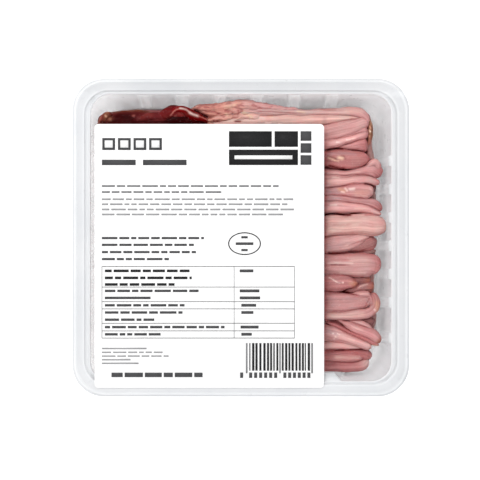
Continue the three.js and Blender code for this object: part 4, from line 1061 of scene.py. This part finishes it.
# Bundle along the top wall: long tongues that turn down at the right, with their roots at the left
topBundle = [
    {"route": [(-12.6, 61.4, 4.5, 32.6), (-0.5, 63.6, 4.8, 33.3), (10.6, 63.6, 4, 33.4),
               (22.2, 63.3, 3.5, 33.4), (32.3, 63, 3, 33.4), (40, 63.2, 3, 33.4), (47.4, 63.3, 3.2, 33.5),
               (52.4, 63.5, 3.8, 33.7), (56.5, 63.6, 4.2, 33.8), (60, 63.1, 4, 33.6),
               (62.6, 61.6, 3.2, 33.2), (64, 59.8, 2.2, 32.8), (64.6, 58.2, 1.4, 32.3)],
     "tint": "bloom", "tipTint": "rose", "tipReach": 22, "rings": 150, "tipLength": 2},
    {"route": [(-14.6, 57.3, 6.1, 32.4), (-2.5, 58.5, 6.6, 33.1), (10.6, 58.8, 5.5, 33.4),
               (22.2, 59.3, 5.2, 33.5), (32.3, 59.5, 5, 33.5), (40, 59.8, 5, 33.5), (47.4, 60.3, 4, 33.5),
               (52.5, 60.5, 2.4, 33.4), (56, 60.6, 1.6, 33.2), (59.6, 60.6, 1.4, 32.8)],
     "tint": "pale", "rings": 130, "edgeShade": 0.25},
    {"route": [(-25.4, 65, 1.6, 31.2), (-21, 65.6, 3, 32.4), (-16, 65.5, 3.8, 33),
               (-10.5, 65.6, 4.2, 33.4), (-5.5, 66.4, 4.6, 33.8), (-0.5, 66.9, 4.6, 34),
               (5, 66.6, 4.6, 33.8), (12, 65.6, 3.6, 33.4), (20, 65, 2.6, 33.1), (30, 64.3, 1.8, 32.8)],
     "tint": "pink", "rootTint": "root", "rootReach": 30, "rings": 150, "knobs": 0.55},
    {"route": [(-23, 63.4, 1.6, 31.2), (-17, 63, 3.2, 32.6), (-12, 62.8, 3.8, 33.2),
               (-6, 63.4, 4.2, 33.5), (0, 64, 3.8, 33.6), (6, 64, 3, 33.4), (14, 63.4, 2, 33)],
     "tint": "pink", "rootTint": "root", "rootReach": 26, "rings": 120, "knobs": 0.6},
    {"route": [(-17.4, 59.4, 2, 31.4), (-13, 60, 3.8, 32.8), (-8, 60.4, 4.2, 33.3), (-3, 60.8, 4.4, 33.5),
               (3, 61.2, 4, 33.6), (10, 60.8, 3, 33.3)],
     "tint": "pale", "rootTint": "root", "rootReach": 20, "rings": 100, "knobs": 0.6},
    {"route": [(-19, 56.6, 3, 31), (-12, 57.2, 4.4, 32), (-4, 57.8, 5, 32.6), (6, 58, 4.8, 32.8),
               (20, 57.6, 4.6, 32.8), (38, 57, 4.6, 32.8)],
     "tint": "pale", "rootTint": "root", "rootReach": 20, "rings": 100, "knobs": 0.5},
    {"route": [(-20, 61, 3, 30.6), (-12, 61.4, 6, 31.8), (-2, 62.4, 7, 32.4), (10, 62.6, 6, 32.2)],
     "tint": "russet", "rings": 60, "knobs": 0.5},
]

underLabel = {
    "end": -6.0, "endDrop": 2.4, "endWidth": 0.9, "middleDrop": 0.8,
    "bend": 6, "bendDrop": 0.2,  # the last bend before the label's edge
    "fan": 3.0, "bendFan": 2.4,  # how far the slope is followed to the end and to the bend
}


def fromUnder(route):
    under = underLabel
    (x, y, width, top), (nextX, nextY, _, _) = route[0], route[1]
    slope = (y - nextY) / (nextX - x)
    farY = y + slope * under["fan"]
    return [(under["end"], farY, width * under["endWidth"], top - under["endDrop"]),
            (mix(under["end"], x, 0.5), farY, width, top - under["middleDrop"]),
            (x - under["bend"], y + slope * under["bendFan"], width, top - under["bendDrop"])] + route


# Left-hand row, which the label hides from above
leftRow = {
    "count": 15, "pitch": 7.9, "startY": -62.0, "shift": 0.7, "endX": -69.5, "endSpread": 4,
    "width": 1.12, "widthSpread": 0.14, "top": 32, "topSpread": 1.4,
    "tints": ("pink", "rose", "mauve", "red"), "rings": 48, "sides": 28,
}


def leftLook(i):
    row = leftRow
    y = row["startY"] + i * row["pitch"] + uneven(i) * row["shift"]
    width = row["pitch"] * (row["width"] + uneven(i + 40) * row["widthSpread"])
    top = row["top"] + uneven(i + 80) * row["topSpread"]
    end = row["endX"] + abs(uneven(i + 120)) * row["endSpread"]
    route = [
        (10 + uneven(i + 160) * 3, y + uneven(i + 200) * 1.5, width * 0.8, top - 4),
        (-14, y, width, top - 0.6),
        (-38, y + uneven(i + 240) * 0.8, width, top),
        (-58, y, width * 0.95, top - 0.4),
        (end, y + uneven(i + 280) * 1.2, width * 0.7, top - 3.2),
    ]
    return {"route": route, "tint": row["tints"][i % 4], "rings": row["rings"], "sides": row["sides"]}


# One mesh of tongues. Those of the right-hand row are carried on under the label.
def layStrands(looks, firstSeed, under=False, **shared):
    bm, layers = meatMesh()
    for seed, look in enumerate(looks, firstSeed):
        changes = {key: value for key, value in look.items() if key not in ("route", "free")}
        carried = under and not look.get("free")
        route = fromUnder(look["route"]) if carried else look["route"]
        addStrand(bm, layers, seed, route, **shared, **changes)
    return bm, layers


# Packed meat below the tongues that show
core = {
    "floor": 2.0, "shoulder": 20.0, "top": 29.6, "clearance": 1.2, "pitch": 7.9, "rightEnd": 64.5,
    "floorInsets": (60, 40), "floorGap": 2.1, "topInsets": (30, 50, 66), "middle": 14,
    # Inset past the wall's own and rise from the floor, up the bend
    "bend": [(2.4, 1.6), (0.6, 6)], "shoulderInset": 1, "edgeInset": 3, "edgeDrop": 3.4, "rimDrop": 0.6,
    "rowSteps": 3, "columnPitch": 2.4, "columns": 22, "cornerSteps": 12, "centre": 15, "underGap": 0.15,
    "ridge": 0.7, "ridgeBend": 1.4, "lumps": 1.2, "lumpDrop": 0.6, "endLumps": 1.5, "noiseSizes": (14, 7, 5),
    "shade": 0.45, "ridgeShade": 0.35,
}


def shapeCore():
    floor, top, shoulder = core["floor"], core["top"], core["shoulder"]
    low, high = [wallInset(z) + core["clearance"] for z in (tray["bendHeight"], shoulder)]
    rows = [wellRow(inset, floor) for inset in (*core["floorInsets"], tray["panelInset"] + core["floorGap"])]
    rows += [wellRow(low + inset, floor + rise) for inset, rise in core["bend"]]
    rows += [
        wellRow(mix(low, high, 0.5) + core["bend"][-1][0], core["middle"]),
        wellRow(high + core["shoulderInset"], shoulder),
        wellRow(high + core["edgeInset"], top - core["edgeDrop"]),
        wellRow(tray["panelInset"], top - core["rimDrop"]),
    ]
    rows += [wellRow(inset, top) for inset in core["topInsets"]]
    steps = core["rowSteps"]
    rows = [[mix(a, b, step / steps) for a, b in zip(first, second)]
            for first, second in zip(rows, rows[1:]) for step in range(steps)]
    breaks = [mark * core["columnPitch"] for mark in range(-core["columns"], core["columns"] + 1)]
    bm, layers = meatMesh()
    wrapRings(bm, rows, ringPlaces([breaks] * 4, core["cornerSteps"]))
    halfX, halfY = tray["mouth"]
    for vert in bm.verts:
        place = vert.co.copy()
        bend, lump, endLump = [noise.noise(place / size) for size in core["noiseSizes"]]
        ridge = math.cos(place.y / core["pitch"] * 2 * math.pi + core["ridgeBend"] * bend)
        push = (ridge - 1) * core["ridge"] + lump * core["lumps"] - core["lumpDrop"]
        out = Vector((place.x / halfX, place.y / halfY, place.z / core["centre"] - 1)).normalized()
        vert.co = place + out * push
        vert.co.x = min(vert.co.x, core["rightEnd"] + endLump * core["endLumps"])
        vert.co.z = max(vert.co.z, tray["wall"] * 2 + core["underGap"])
        vert[layers["tint"]] = (*meatTints["red"], clamp(core["shade"] - core["ridgeShade"] * ridge))
        vert[layers["grain"]] = place
    return bm, layers


# Dark red piece in the top left corner: a thick slab, a folded flap and a glossy roll on it
darkShape = {"overlap": 1.0, "depth": 5.0, "edgeShade": 0.0, "relief": 0.3, "streak": 0.05}
darkStrands = [
    {"route": [(-71.4, 55, 8, 30), (-68, 57.4, 12, 32), (-60, 57.8, 13, 32.6), (-51, 57.9, 13.6, 32.8),
               (-44, 57.2, 12.6, 32.6), (-36, 57, 12, 32.4), (-28, 56, 11, 32), (-19, 54.6, 8, 31)],
     "tint": "wine", "rings": 120, "sides": 60, "lump": 0.7, "startLength": 5, "power": 2.4},
    {"route": [(-71, 53, 3.4, 31.4), (-70.4, 58, 4, 32.6), (-68.2, 61.4, 4, 33), (-64.6, 62.4, 3, 32.8)],
     "tint": "umber", "tipTint": "wine", "rings": 60},
    {"route": [(-44, 60, 5, 32.2), (-39.6, 61.2, 6.6, 33), (-36.2, 62.4, 8, 33.5), (-34.4, 63, 8.4, 33.7),
               (-32.4, 62.9, 8, 33.7), (-28.6, 61.8, 7.4, 33.3), (-24, 60.6, 6.2, 32.8),
               (-19.4, 59, 4, 32)],
     "tint": "garnet", "rings": 100, "lump": 0.2},
    {"route": [(-52, 58, 5, 32.6), (-47.6, 60.6, 5.4, 33.4), (-42, 61, 5, 33.2), (-37, 59.8, 4.4, 32.8)],
     "tint": "wine", "rings": 70, "lump": 0.4},
    # Black meat under the roll, painted shade below it, turning ruby at its tip
    {"route": [(-40, 57.4, 5, 32.4), (-33, 59.4, 7, 33.4), (-27, 59.2, 7, 33.4), (-20, 57.4, 4, 32.6)],
     "tint": "black", "tipTint": "ruby", "tipReach": 9, "rings": 70, "lump": 0.2},
    {"route": [(-35.6, 61, 2.2, 33), (-33.4, 64, 2.8, 34.2), (-30.7, 64.9, 3.4, 35),
               (-27.7, 63.9, 4.2, 35.2), (-24.6, 61.8, 5, 35), (-21.2, 60.2, 4.6, 34.4),
               (-16.8, 58.4, 2.8, 33)],
     "tint": "ruby", "rings": 90, "lump": 0.1, "tipLength": 2},
]

# How the two meats look. Fibre is stretched along and across the piece, and a bump is strength and depth.
tongueLook = {
    "broadFibre": (0.035, 0.5, 1.0), "fineFibre": (0.06, 2.1, 1.0), "blotchScale": 170.0, "fleckScale": 900.0,
    "fibreDark": (0.75, 0.65, 0.66), "fibrePale": (1.2, 1.21, 1.22), "blotchTint": (1.02, 0.87, 0.88),
    "fleckTint": colour(240, 214, 204), "flecks": 0.15, "roughness": (0.34, 0.5), "bump": (0.42, 0.00025),
    "blotchWet": (0.45, 0.9, 0.0, 0.6), "pores": (0.15, 0.0002), "poreScale": 1500.0,
    "scatter": (1.0, 0.35, 0.25),
}
darkLook = {
    "broadFibre": (0.08, 0.3, 1.0), "fineFibre": (0.2, 1.1, 1.0), "blotchScale": 150.0, "fleckScale": 620.0,
    "fibreDark": (0.75, 0.65, 0.65), "fibrePale": (1.2, 1.2, 1.2), "blotchTint": (0.7, 0.5, 0.5),
    "fleckTint": colour(176, 110, 104), "flecks": 0.08, "roughness": (0.24, 0.4), "bump": (0.4, 0.0003),
    "coat": (0.02, 1.0),
}


# Skin of a meat: tint from the points with their painted shade and highlights, fibre along the piece,
# blotches and pale flecks
def meatSkin(tree, shader, look):
    fibre = placeGroup(tree, muscleFibre, Grain=stored(tree, "grain", "Vector"), Broad=look["broadFibre"],
                       Fine=look["fineFibre"])
    spots = placeGroup(tree, blotches, Vector=objectPlace(tree), Scale=look["blotchScale"],
                       Flecks=look["fleckScale"])
    fibreTint = mixColour(tree, fibre["Streaks"], look["fibreDark"], look["fibrePale"])
    streaked = mixColour(tree, 1.0, stored(tree, "tint", "Color"), fibreTint, "MULTIPLY")
    reddened = mixColour(tree, 1.0, streaked, look["blotchTint"], "MULTIPLY")
    blotched = mixColour(tree, spots["Blotch"], streaked, reddened)
    flecks = ranged(tree, spots["Fleck"], 0.0, 1.0, 0.0, look["flecks"])
    feed(tree, shader["Base Color"], mixColour(tree, flecks, blotched, look["fleckTint"]))
    feed(tree, shader["Roughness"], ranged(tree, spots["Blotch"], 0.0, 1.0, *look["roughness"]))
    return spots, bumped(tree, fibre["Height"], *look["bump"])


# Wet raw tongue
def tongueMeat():
    look = tongueLook
    material, tree, shader = newMaterial("rawTongue", IOR=1.4, Specular_IOR_Level=0.05, Subsurface_Weight=0.2,
                                         Subsurface_Scale=0.002, Subsurface_Radius=look["scatter"],
                                         Coat_Roughness=0.1)
    spots, fibreNormal = meatSkin(tree, shader, look)
    blotchWet = ranged(tree, spots["Blotch"], *look["blotchWet"])
    feed(tree, shader["Coat Weight"], calculated(tree, "ADD", blotchWet, stored(tree, "wet", "Fac"), True))
    pores = noiseOf(tree, objectPlace(tree), look["poreScale"])
    feed(tree, shader["Normal"], bumped(tree, pores, *look["pores"], Normal=fibreNormal))
    return material


# Dark, very glossy meat
def darkMeat():
    material, tree, shader = newMaterial("darkMeat", IOR=1.4, Specular_IOR_Level=0.03, Coat_Roughness=0.08)
    fibreNormal = meatSkin(tree, shader, darkLook)[1]
    wet = stored(tree, "wet", "Fac")
    feed(tree, shader["Coat Weight"], ranged(tree, wet, 0.0, 1.0, *darkLook["coat"]))
    feed(tree, shader["Normal"], fibreNormal)
    return material


# All the meat is shaped first, because the gaps are shaded by what stands round them
def buildMeat():
    skin, dark = tongueMeat(), darkMeat()
    leftLooks = [leftLook(i) for i in range(leftRow["count"])]
    tongues = {
        "tongues_right_upper": layStrands(upperRow, 0, under=True),
        "tongues_right_lower": layStrands(lowerRow, 20, under=True),
        "tongues_top_bundle": layStrands(topBundle, 60),
        "tongues_left": layStrands(leftLooks, 100),
        "packed_core": shapeCore(),
    }
    pieces = [(name, *shaped, skin, "tongue_meat", "duck_tongues") for name, shaped in tongues.items()]
    shaped = layStrands(darkStrands, 40, **darkShape)
    pieces.append(("dark_red_flap", *shaped, dark, "dark_meat", "dark_red_piece"))
    around = hollowMap([bm for _, bm, *_ in pieces])
    for name, bm, layers, material, slot, node in pieces:
        shadeHollows(bm, layers, around)
        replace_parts(finishPiece(bm, name, material), node)
    print("meat is laid in")


# Clear top film, sealed on the flange
filmSizes = {
    "underside": 0.03, "topGap": 0.02, "undersideInsets": (40, 20, 2.1), "topInsets": (2.1, 6.3, 7.4, 20, 40),
    "leastCorner": 4.0, "cornerSteps": 14,
    # Tint, roughness, waviness, and alpha from straight on to a glance
    "tint": (0.95, 0.95, 0.95), "roughness": 0.08, "waveScale": 60.0, "waves": (0.1, 0.0004),
    "alpha": (0.0006, 0.5), "glancePower": 5.0,
}


def buildFilm(material):
    low, high = sealHeight + filmSizes["underside"], filmHigh.z - filmSizes["topGap"]
    rings = [(inset, low) for inset in filmSizes["undersideInsets"]]
    rings += [(inset, high) for inset in filmSizes["topInsets"]]
    rows = []
    for inset, z in rings:
        halfX, halfY, radius = flangeRow(inset, 0)[:3]
        rows.append([halfX, halfY, max(radius, filmSizes["leastCorner"]), z])
    bm = bmesh.new()
    wrapRings(bm, rows, ringPlaces([[0.0]] * 4, filmSizes["cornerSteps"]))
    film = finishPiece(bm, "clear_top_film", material)
    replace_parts(film, "lid_film")


def clearFilm():
    look = filmSizes
    material, tree, shader = newMaterial("clearFilm", Base_Color=look["tint"], Roughness=look["roughness"],
                                         IOR=1.5)
    facing = newNode(tree, "ShaderNodeLayerWeight", Blend=0.5).outputs["Facing"]
    glance = calculated(tree, "POWER", facing, look["glancePower"])
    feed(tree, shader["Alpha"], ranged(tree, glance, 0.0, 1.0, *look["alpha"]))
    waves = noiseOf(tree, objectPlace(tree), look["waveScale"])
    feed(tree, shader["Normal"], bumped(tree, waves, *look["waves"]))
    return material


# Label: white paper plate with a plain print of bars, lines and blocks.
# Places on it are measured from its left and top edges.
labelSizes = {
    "corner": 2.0, "cornerSteps": 8, "edge": 0.04, "underside": 0.02, "paperTop": 0.14, "printTop": 0.05,
    "printGap": 0.01, "whiteLift": 0.02,
}
ink = {"black": colour(30, 30, 32), "dark": colour(74, 74, 76), "middle": colour(128, 128, 130),
       "light": colour(160, 160, 162), "white": colour(252, 252, 252)}
paperTop = labelHigh.z - labelSizes["paperTop"]
printBase = paperTop + labelSizes["printGap"]
printTop = labelHigh.z - labelSizes["printTop"]


def buildPaper(material):
    corner, edge = labelSizes["corner"], labelSizes["edge"]
    middle = (labelLow + labelHigh) / 2
    halfX, halfY = labelHigh.x - middle.x, labelHigh.y - middle.y
    low = labelLow.z + labelSizes["underside"]
    rows = [[halfX - inset, halfY - inset, corner, z]
            for inset, z in ((edge, low), (0, low + edge), (0, paperTop - edge), (edge, paperTop))]
    bm = bmesh.new()
    wrapRings(bm, rows, ringPlaces([[0.0]] * 4, labelSizes["cornerSteps"]))
    bmesh.ops.translate(bm, vec=(middle.x, middle.y, 0), verts=bm.verts)
    paper = finishPiece(bm, "paper_label", material)
    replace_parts(paper, "label")


printed = {
    # Broken bars
    "piece": 4.0, "pieceGrowth": 1.2, "pieceSpread": 0.55, "gap": 1.0, "leastPiece": 0.8,
    "wholeLength": 23, "wholeHeight": 2.6,  # shorter or taller bars are whole
    # Four square frames in a row
    "squares": 4, "squareLeft": 3.9, "squareTop": 7.0, "squarePitch": 7.8, "square": (6.4, 6.0), "frame": 1.2,
    # Ruled table
    "rulings": [71.2, 81.5, 88.8, 92.4, 99.6, 103.4, 107.0], "uprights": (3.7, 69.8, 100.0),
    "rulingHalf": 0.14, "uprightHalf": 0.12,
    "oval": (75.0, 59.8, 8.2, 5.7, 0.55), "ovalSteps": 48,  # centre, half sizes and stroke
    # Plain fields in the upper right corner: left, top, right, bottom
    "fields": [(67.2, 3.6, 88.6, 11.4, "black"), (90.0, 3.6, 101.7, 11.4, "black"),
               (67.2, 12.8, 101.7, 20.5, "black"), (70.0, 15.7, 98.9, 17.6, "white")]
              + [(103.0, 3.6 + i * 6.0, 108.4, 8.4 + i * 6.0, "dark") for i in range(3)],
    # Upright stripes of uneven width
    "stripesLeft": 75.7, "stripesRight": 109.9, "stripesTop": 109.5, "stripesBottom": 123.3,
    "stripe": (0.4, 0.85), "stripeGap": (0.4, 0.6), "stripeRest": 0.5,  # least width and what may be added
    "longStripes": (0, 10), "longFrom": 108, "longBottom": 124.6,
    # Short bars in a row under them
    "feet": [72.8] + [77.3 + 2.5 * i for i in range(6)] + [94.4 + 2.4 * i for i in range(6)],
    "foot": (124.2, 1.5, 126.9),
}
# Bars: left, right, middle, height and tint
barLines = [
    (3.7, 20.6, 19.2, 2.7, "dark"), (24.2, 46.0, 19.2, 2.7, "dark"),
    (3.7, 92.0, 31.0, 0.9, "middle"), (3.7, 64.0, 34.0, 0.9, "middle"),
    (3.7, 100.2, 37.6, 0.85, "light"), (3.7, 97.0, 40.1, 0.85, "light"),
    (3.7, 100.2, 42.7, 0.85, "light"), (3.7, 95.0, 45.2, 0.85, "light"),
    (3.7, 54.7, 57.0, 1.1, "dark"), (3.7, 51.2, 60.4, 1.1, "dark"), (3.7, 50.7, 64.0, 1.1, "dark"),
    (3.7, 37.2, 67.5, 1.1, "dark"),
    (5.2, 48.0, 73.4, 1.3, "black"), (5.2, 48.6, 76.9, 1.3, "black"), (5.2, 40.0, 80.2, 1.3, "black"),
    (5.2, 52.0, 83.4, 1.2, "dark"), (5.2, 28.0, 86.9, 1.2, "dark"), (5.2, 45.0, 90.6, 1.2, "dark"),
    (5.2, 44.0, 94.2, 1.2, "dark"), (5.2, 31.0, 97.8, 1.2, "dark"), (5.2, 65.0, 101.5, 1.2, "dark"),
    (5.2, 33.0, 105.1, 1.2, "dark"),
    (3.7, 26.0, 112.2, 0.7, "light"), (3.7, 34.0, 114.1, 0.7, "light"), (3.7, 37.0, 116.0, 0.7, "light"),
    (3.7, 18.0, 117.8, 0.7, "light"), (3.7, 22.0, 119.6, 0.7, "light"),
    (72.6, 79.4, 73.4, 1.4, "dark"), (72.6, 82.4, 83.4, 1.4, "dark"), (72.6, 82.8, 86.9, 1.4, "dark"),
    (73.4, 80.8, 90.6, 1.4, "dark"), (73.4, 79.4, 94.2, 1.4, "dark"), (73.0, 82.0, 101.5, 1.4, "dark"),
    (73.4, 78.6, 105.1, 1.4, "dark"),
    (73.4, 76.6, 56.6, 1.1, "dark"), (70.6, 79.4, 59.8, 1.3, "dark"), (73.4, 76.6, 63.0, 1.1, "dark"),
    (8.5, 54.0, 125.4, 2.2, "dark"),
]


def addBox(bm, layer, left, top, right, bottom, tint):
    base, high = (printTop, printTop + labelSizes["whiteLift"]) if tint == "white" else (printBase, printTop)
    for vert in bmesh.ops.create_cube(bm, size=1)["verts"]:
        x, y, z = vert.co + Vector((0.5, 0.5, 0.5))
        vert.co = (labelLow.x + mix(left, right, x), labelHigh.y - mix(bottom, top, y), mix(base, high, z))
        vert[layer] = (*ink[tint], 1.0)


def addBar(bm, layer, left, right, middle, height, tint):
    addBox(bm, layer, left, middle - height / 2, right, middle + height / 2, tint)


# Bar broken into pieces of uneven length
def addBrokenBar(bm, layer, seed, left, right, middle, height, tint):
    place, count = left, 0
    piece = printed["piece"] + height * printed["pieceGrowth"]
    while place < right - printed["leastPiece"]:
        end = min(place + piece * (1 + printed["pieceSpread"] * uneven(seed * 13 + count)), right)
        addBar(bm, layer, place, end, middle, height, tint)
        place, count = end + printed["gap"], count + 1


def addOval(bm, layer, centreX, centreY, halfX, halfY, stroke, tint):
    middle = Vector((labelLow.x + centreX, labelHigh.y - centreY, printBase))
    made = bmesh.ops.create_circle(bm, segments=printed["ovalSteps"], radius=1)["verts"]
    for vert in made:
        vert.co = middle + Vector((vert.co.x * halfX, vert.co.y * halfY, 0))
    edges = list({edge for vert in made for edge in vert.link_edges})
    line = bmesh.ops.extrude_edge_only(bm, edges=edges)["geom"]
    inner = [item for item in line if isinstance(item, bmesh.types.BMVert)]
    for vert in inner:
        out = vert.co - middle
        vert.co = middle + out * (1 - stroke / out.length)
    ring = list({face for vert in inner for face in vert.link_faces})
    lifted = bmesh.ops.extrude_face_region(bm, geom=ring)["geom"]
    top = [item for item in lifted if isinstance(item, bmesh.types.BMVert)]
    bmesh.ops.translate(bm, vec=(0, 0, printTop - printBase), verts=top)
    for vert in made + inner + top:
        vert[layer] = (*ink[tint], 1.0)


def addStripes(bm, layer):
    plan = printed
    place, count = plan["stripesLeft"], 0
    while place < plan["stripesRight"] - plan["stripeRest"]:
        long = count in plan["longStripes"] or place > plan["longFrom"]
        bottom, tint = (plan["longBottom"], "middle") if long else (plan["stripesBottom"], "black")
        width, gap = [least + more * abs(uneven(count + seed))
                      for (least, more), seed in ((plan["stripe"], 500), (plan["stripeGap"], 700))]
        addBox(bm, layer, place, plan["stripesTop"], min(place + width, plan["stripesRight"]), bottom, tint)
        place += width + gap
        count += 1


def buildPrint(material):
    plan = printed
    bm = bmesh.new()
    layer = bm.verts.layers.float_color.new("ink")
    for seed, (left, right, middle, height, tint) in enumerate(barLines):
        if right - left < plan["wholeLength"] or height > plan["wholeHeight"]:
            addBar(bm, layer, left, right, middle, height, tint)
        else:
            addBrokenBar(bm, layer, seed, left, right, middle, height, tint)
    frame, (width, height) = plan["frame"], plan["square"]
    for i in range(plan["squares"]):
        left, top = plan["squareLeft"] + i * plan["squarePitch"], plan["squareTop"]
        addBox(bm, layer, left, top, left + width, top + height, "dark")
        addBox(bm, layer, left + frame, top + frame, left + width - frame, top + height - frame, "white")
    for middle in plan["rulings"]:
        addBar(bm, layer, plan["uprights"][0], plan["uprights"][-1], middle, 2 * plan["rulingHalf"], "dark")
    half = plan["uprightHalf"]
    for side in plan["uprights"]:
        addBox(bm, layer, side - half, plan["rulings"][0], side + half, plan["rulings"][-1], "middle")
    addOval(bm, layer, *plan["oval"], "black")
    for field in plan["fields"]:
        addBox(bm, layer, *field)
    addStripes(bm, layer)
    top, width, bottom = plan["foot"]
    for left in plan["feet"]:
        addBox(bm, layer, left, top, left + width, bottom, "dark")
    finishPiece(bm, "label_print", material)


paperLook = {"pale": colour(249, 249, 250), "white": colour(254, 254, 254), "roughness": (0.38, 0.52),
             "grainScale": 1400.0, "bump": (0.1, 0.00005)}
inkLook = {"wear": 0.03, "worn": (0.5, 0.5, 0.5), "roughness": (0.4, 0.6), "grainScale": 2600.0}


def labelPaper():
    material, tree, shader = newMaterial("labelPaper", IOR=1.45)
    grain = noiseOf(tree, objectPlace(tree), paperLook["grainScale"], 3.0)
    white = mixColour(tree, spread(tree, grain), paperLook["pale"], paperLook["white"])
    feed(tree, shader["Base Color"], white)
    feed(tree, shader["Roughness"], spread(tree, grain, *paperLook["roughness"]))
    feed(tree, shader["Normal"], bumped(tree, grain, *paperLook["bump"]))
    return material


def printInk():
    material, tree, shader = newMaterial("printInk", Specular_IOR_Level=0.1)
    grain = noiseOf(tree, objectPlace(tree), inkLook["grainScale"])
    wear = spread(tree, grain, 0.0, inkLook["wear"])
    feed(tree, shader["Base Color"], mixColour(tree, wear, stored(tree, "ink", "Color"), inkLook["worn"]))
    feed(tree, shader["Roughness"], spread(tree, grain, *inkLook["roughness"]))
    return material


# Camera, straight above the pack
photo = {"side": 480, "millimetresPerPixel": 0.5, "centre": (240.9, 237.65), "distance": 850.0,
         "sensor": 36.0, "clip": (0.05, 20)}


def makeCamera():
    scale = photo["millimetresPerPixel"]
    data = bpy.data.cameras.new("photoCamera")
    data.sensor_width = photo["sensor"]
    data.lens = photo["sensor"] * photo["distance"] / (photo["side"] * scale)
    data.clip_start, data.clip_end = photo["clip"]
    camera = bpy.data.objects.new("photoCamera", data)
    middle = photo["side"] / 2
    left, down = [(place - middle) * scale for place in photo["centre"]]
    camera.location = (-left * mm, down * mm, (sealHeight + photo["distance"]) * mm)
    bpy.context.scene.collection.objects.link(camera)
    bpy.context.scene.camera = camera


# Light: a large soft source from the top left, a white surround and a bright floor
lighting = {
    "key": {"place": (-0.55, 0.75, 1.1), "size": 0.4, "watts": 6.0, "colour": (1.0, 0.99, 0.97)},
    "fill": {"place": (0.9, -0.3, 0.8), "size": 1.0, "watts": 1.0, "colour": (0.97, 0.98, 1.0)},
    "surround": 0.93, "floorGlow": 0.7, "floorSize": 6.0, "floorTint": (0.9, 0.9, 0.9), "floorRoughness": 0.7,
}


def makeLights():
    for name in ("key", "fill"):
        look = lighting[name]
        data = bpy.data.lights.new(name, "AREA")
        data.shape = "SQUARE"
        data.size = look["size"]
        data.energy = look["watts"]
        data.color = look["colour"]
        lamp = bpy.data.objects.new(name, data)
        lamp.location = look["place"]
        lamp.rotation_euler = Vector(look["place"]).to_track_quat("Z", "Y").to_euler()
        bpy.context.scene.collection.objects.link(lamp)


def makeWorld():
    world = bpy.data.worlds.new("surround")
    bpy.context.scene.world = world
    world.use_nodes = True
    tree = world.node_tree
    tree.nodes.clear()
    seen = newNode(tree, "ShaderNodeLightPath").outputs["Is Camera Ray"]
    strength = ranged(tree, seen, 0.0, 1.0, lighting["surround"], 1.0)
    back = newNode(tree, "ShaderNodeBackground", Color=(1.0, 1.0, 1.0), Strength=strength)
    output = newNode(tree, "ShaderNodeOutputWorld")
    tree.links.new(back.outputs[0], output.inputs[0])


def makeFloor():
    bm = bmesh.new()
    bmesh.ops.create_grid(bm, x_segments=1, y_segments=1, size=lighting["floorSize"] / 2)
    mesh = bpy.data.meshes.new("floor")
    bm.to_mesh(mesh)
    bm.free()
    look = {"Base_Color": lighting["floorTint"], "Roughness": lighting["floorRoughness"],
            "Emission_Color": (1.0, 1.0, 1.0), "Emission_Strength": lighting["floorGlow"]}
    mesh.materials.append(newMaterial("floorWhite", **look)[0])
    floor = bpy.data.objects.new("floor", mesh)
    bpy.context.scene.collection.objects.link(floor)


bpy.context.scene.view_settings.view_transform = "Standard"
makeCamera()
makeWorld()
makeLights()
makeFloor()
print("camera and light are up")
buildTray(trayPlastic())
buildMeat()
buildFilm(clearFilm())
buildPaper(labelPaper())
buildPrint(printInk())
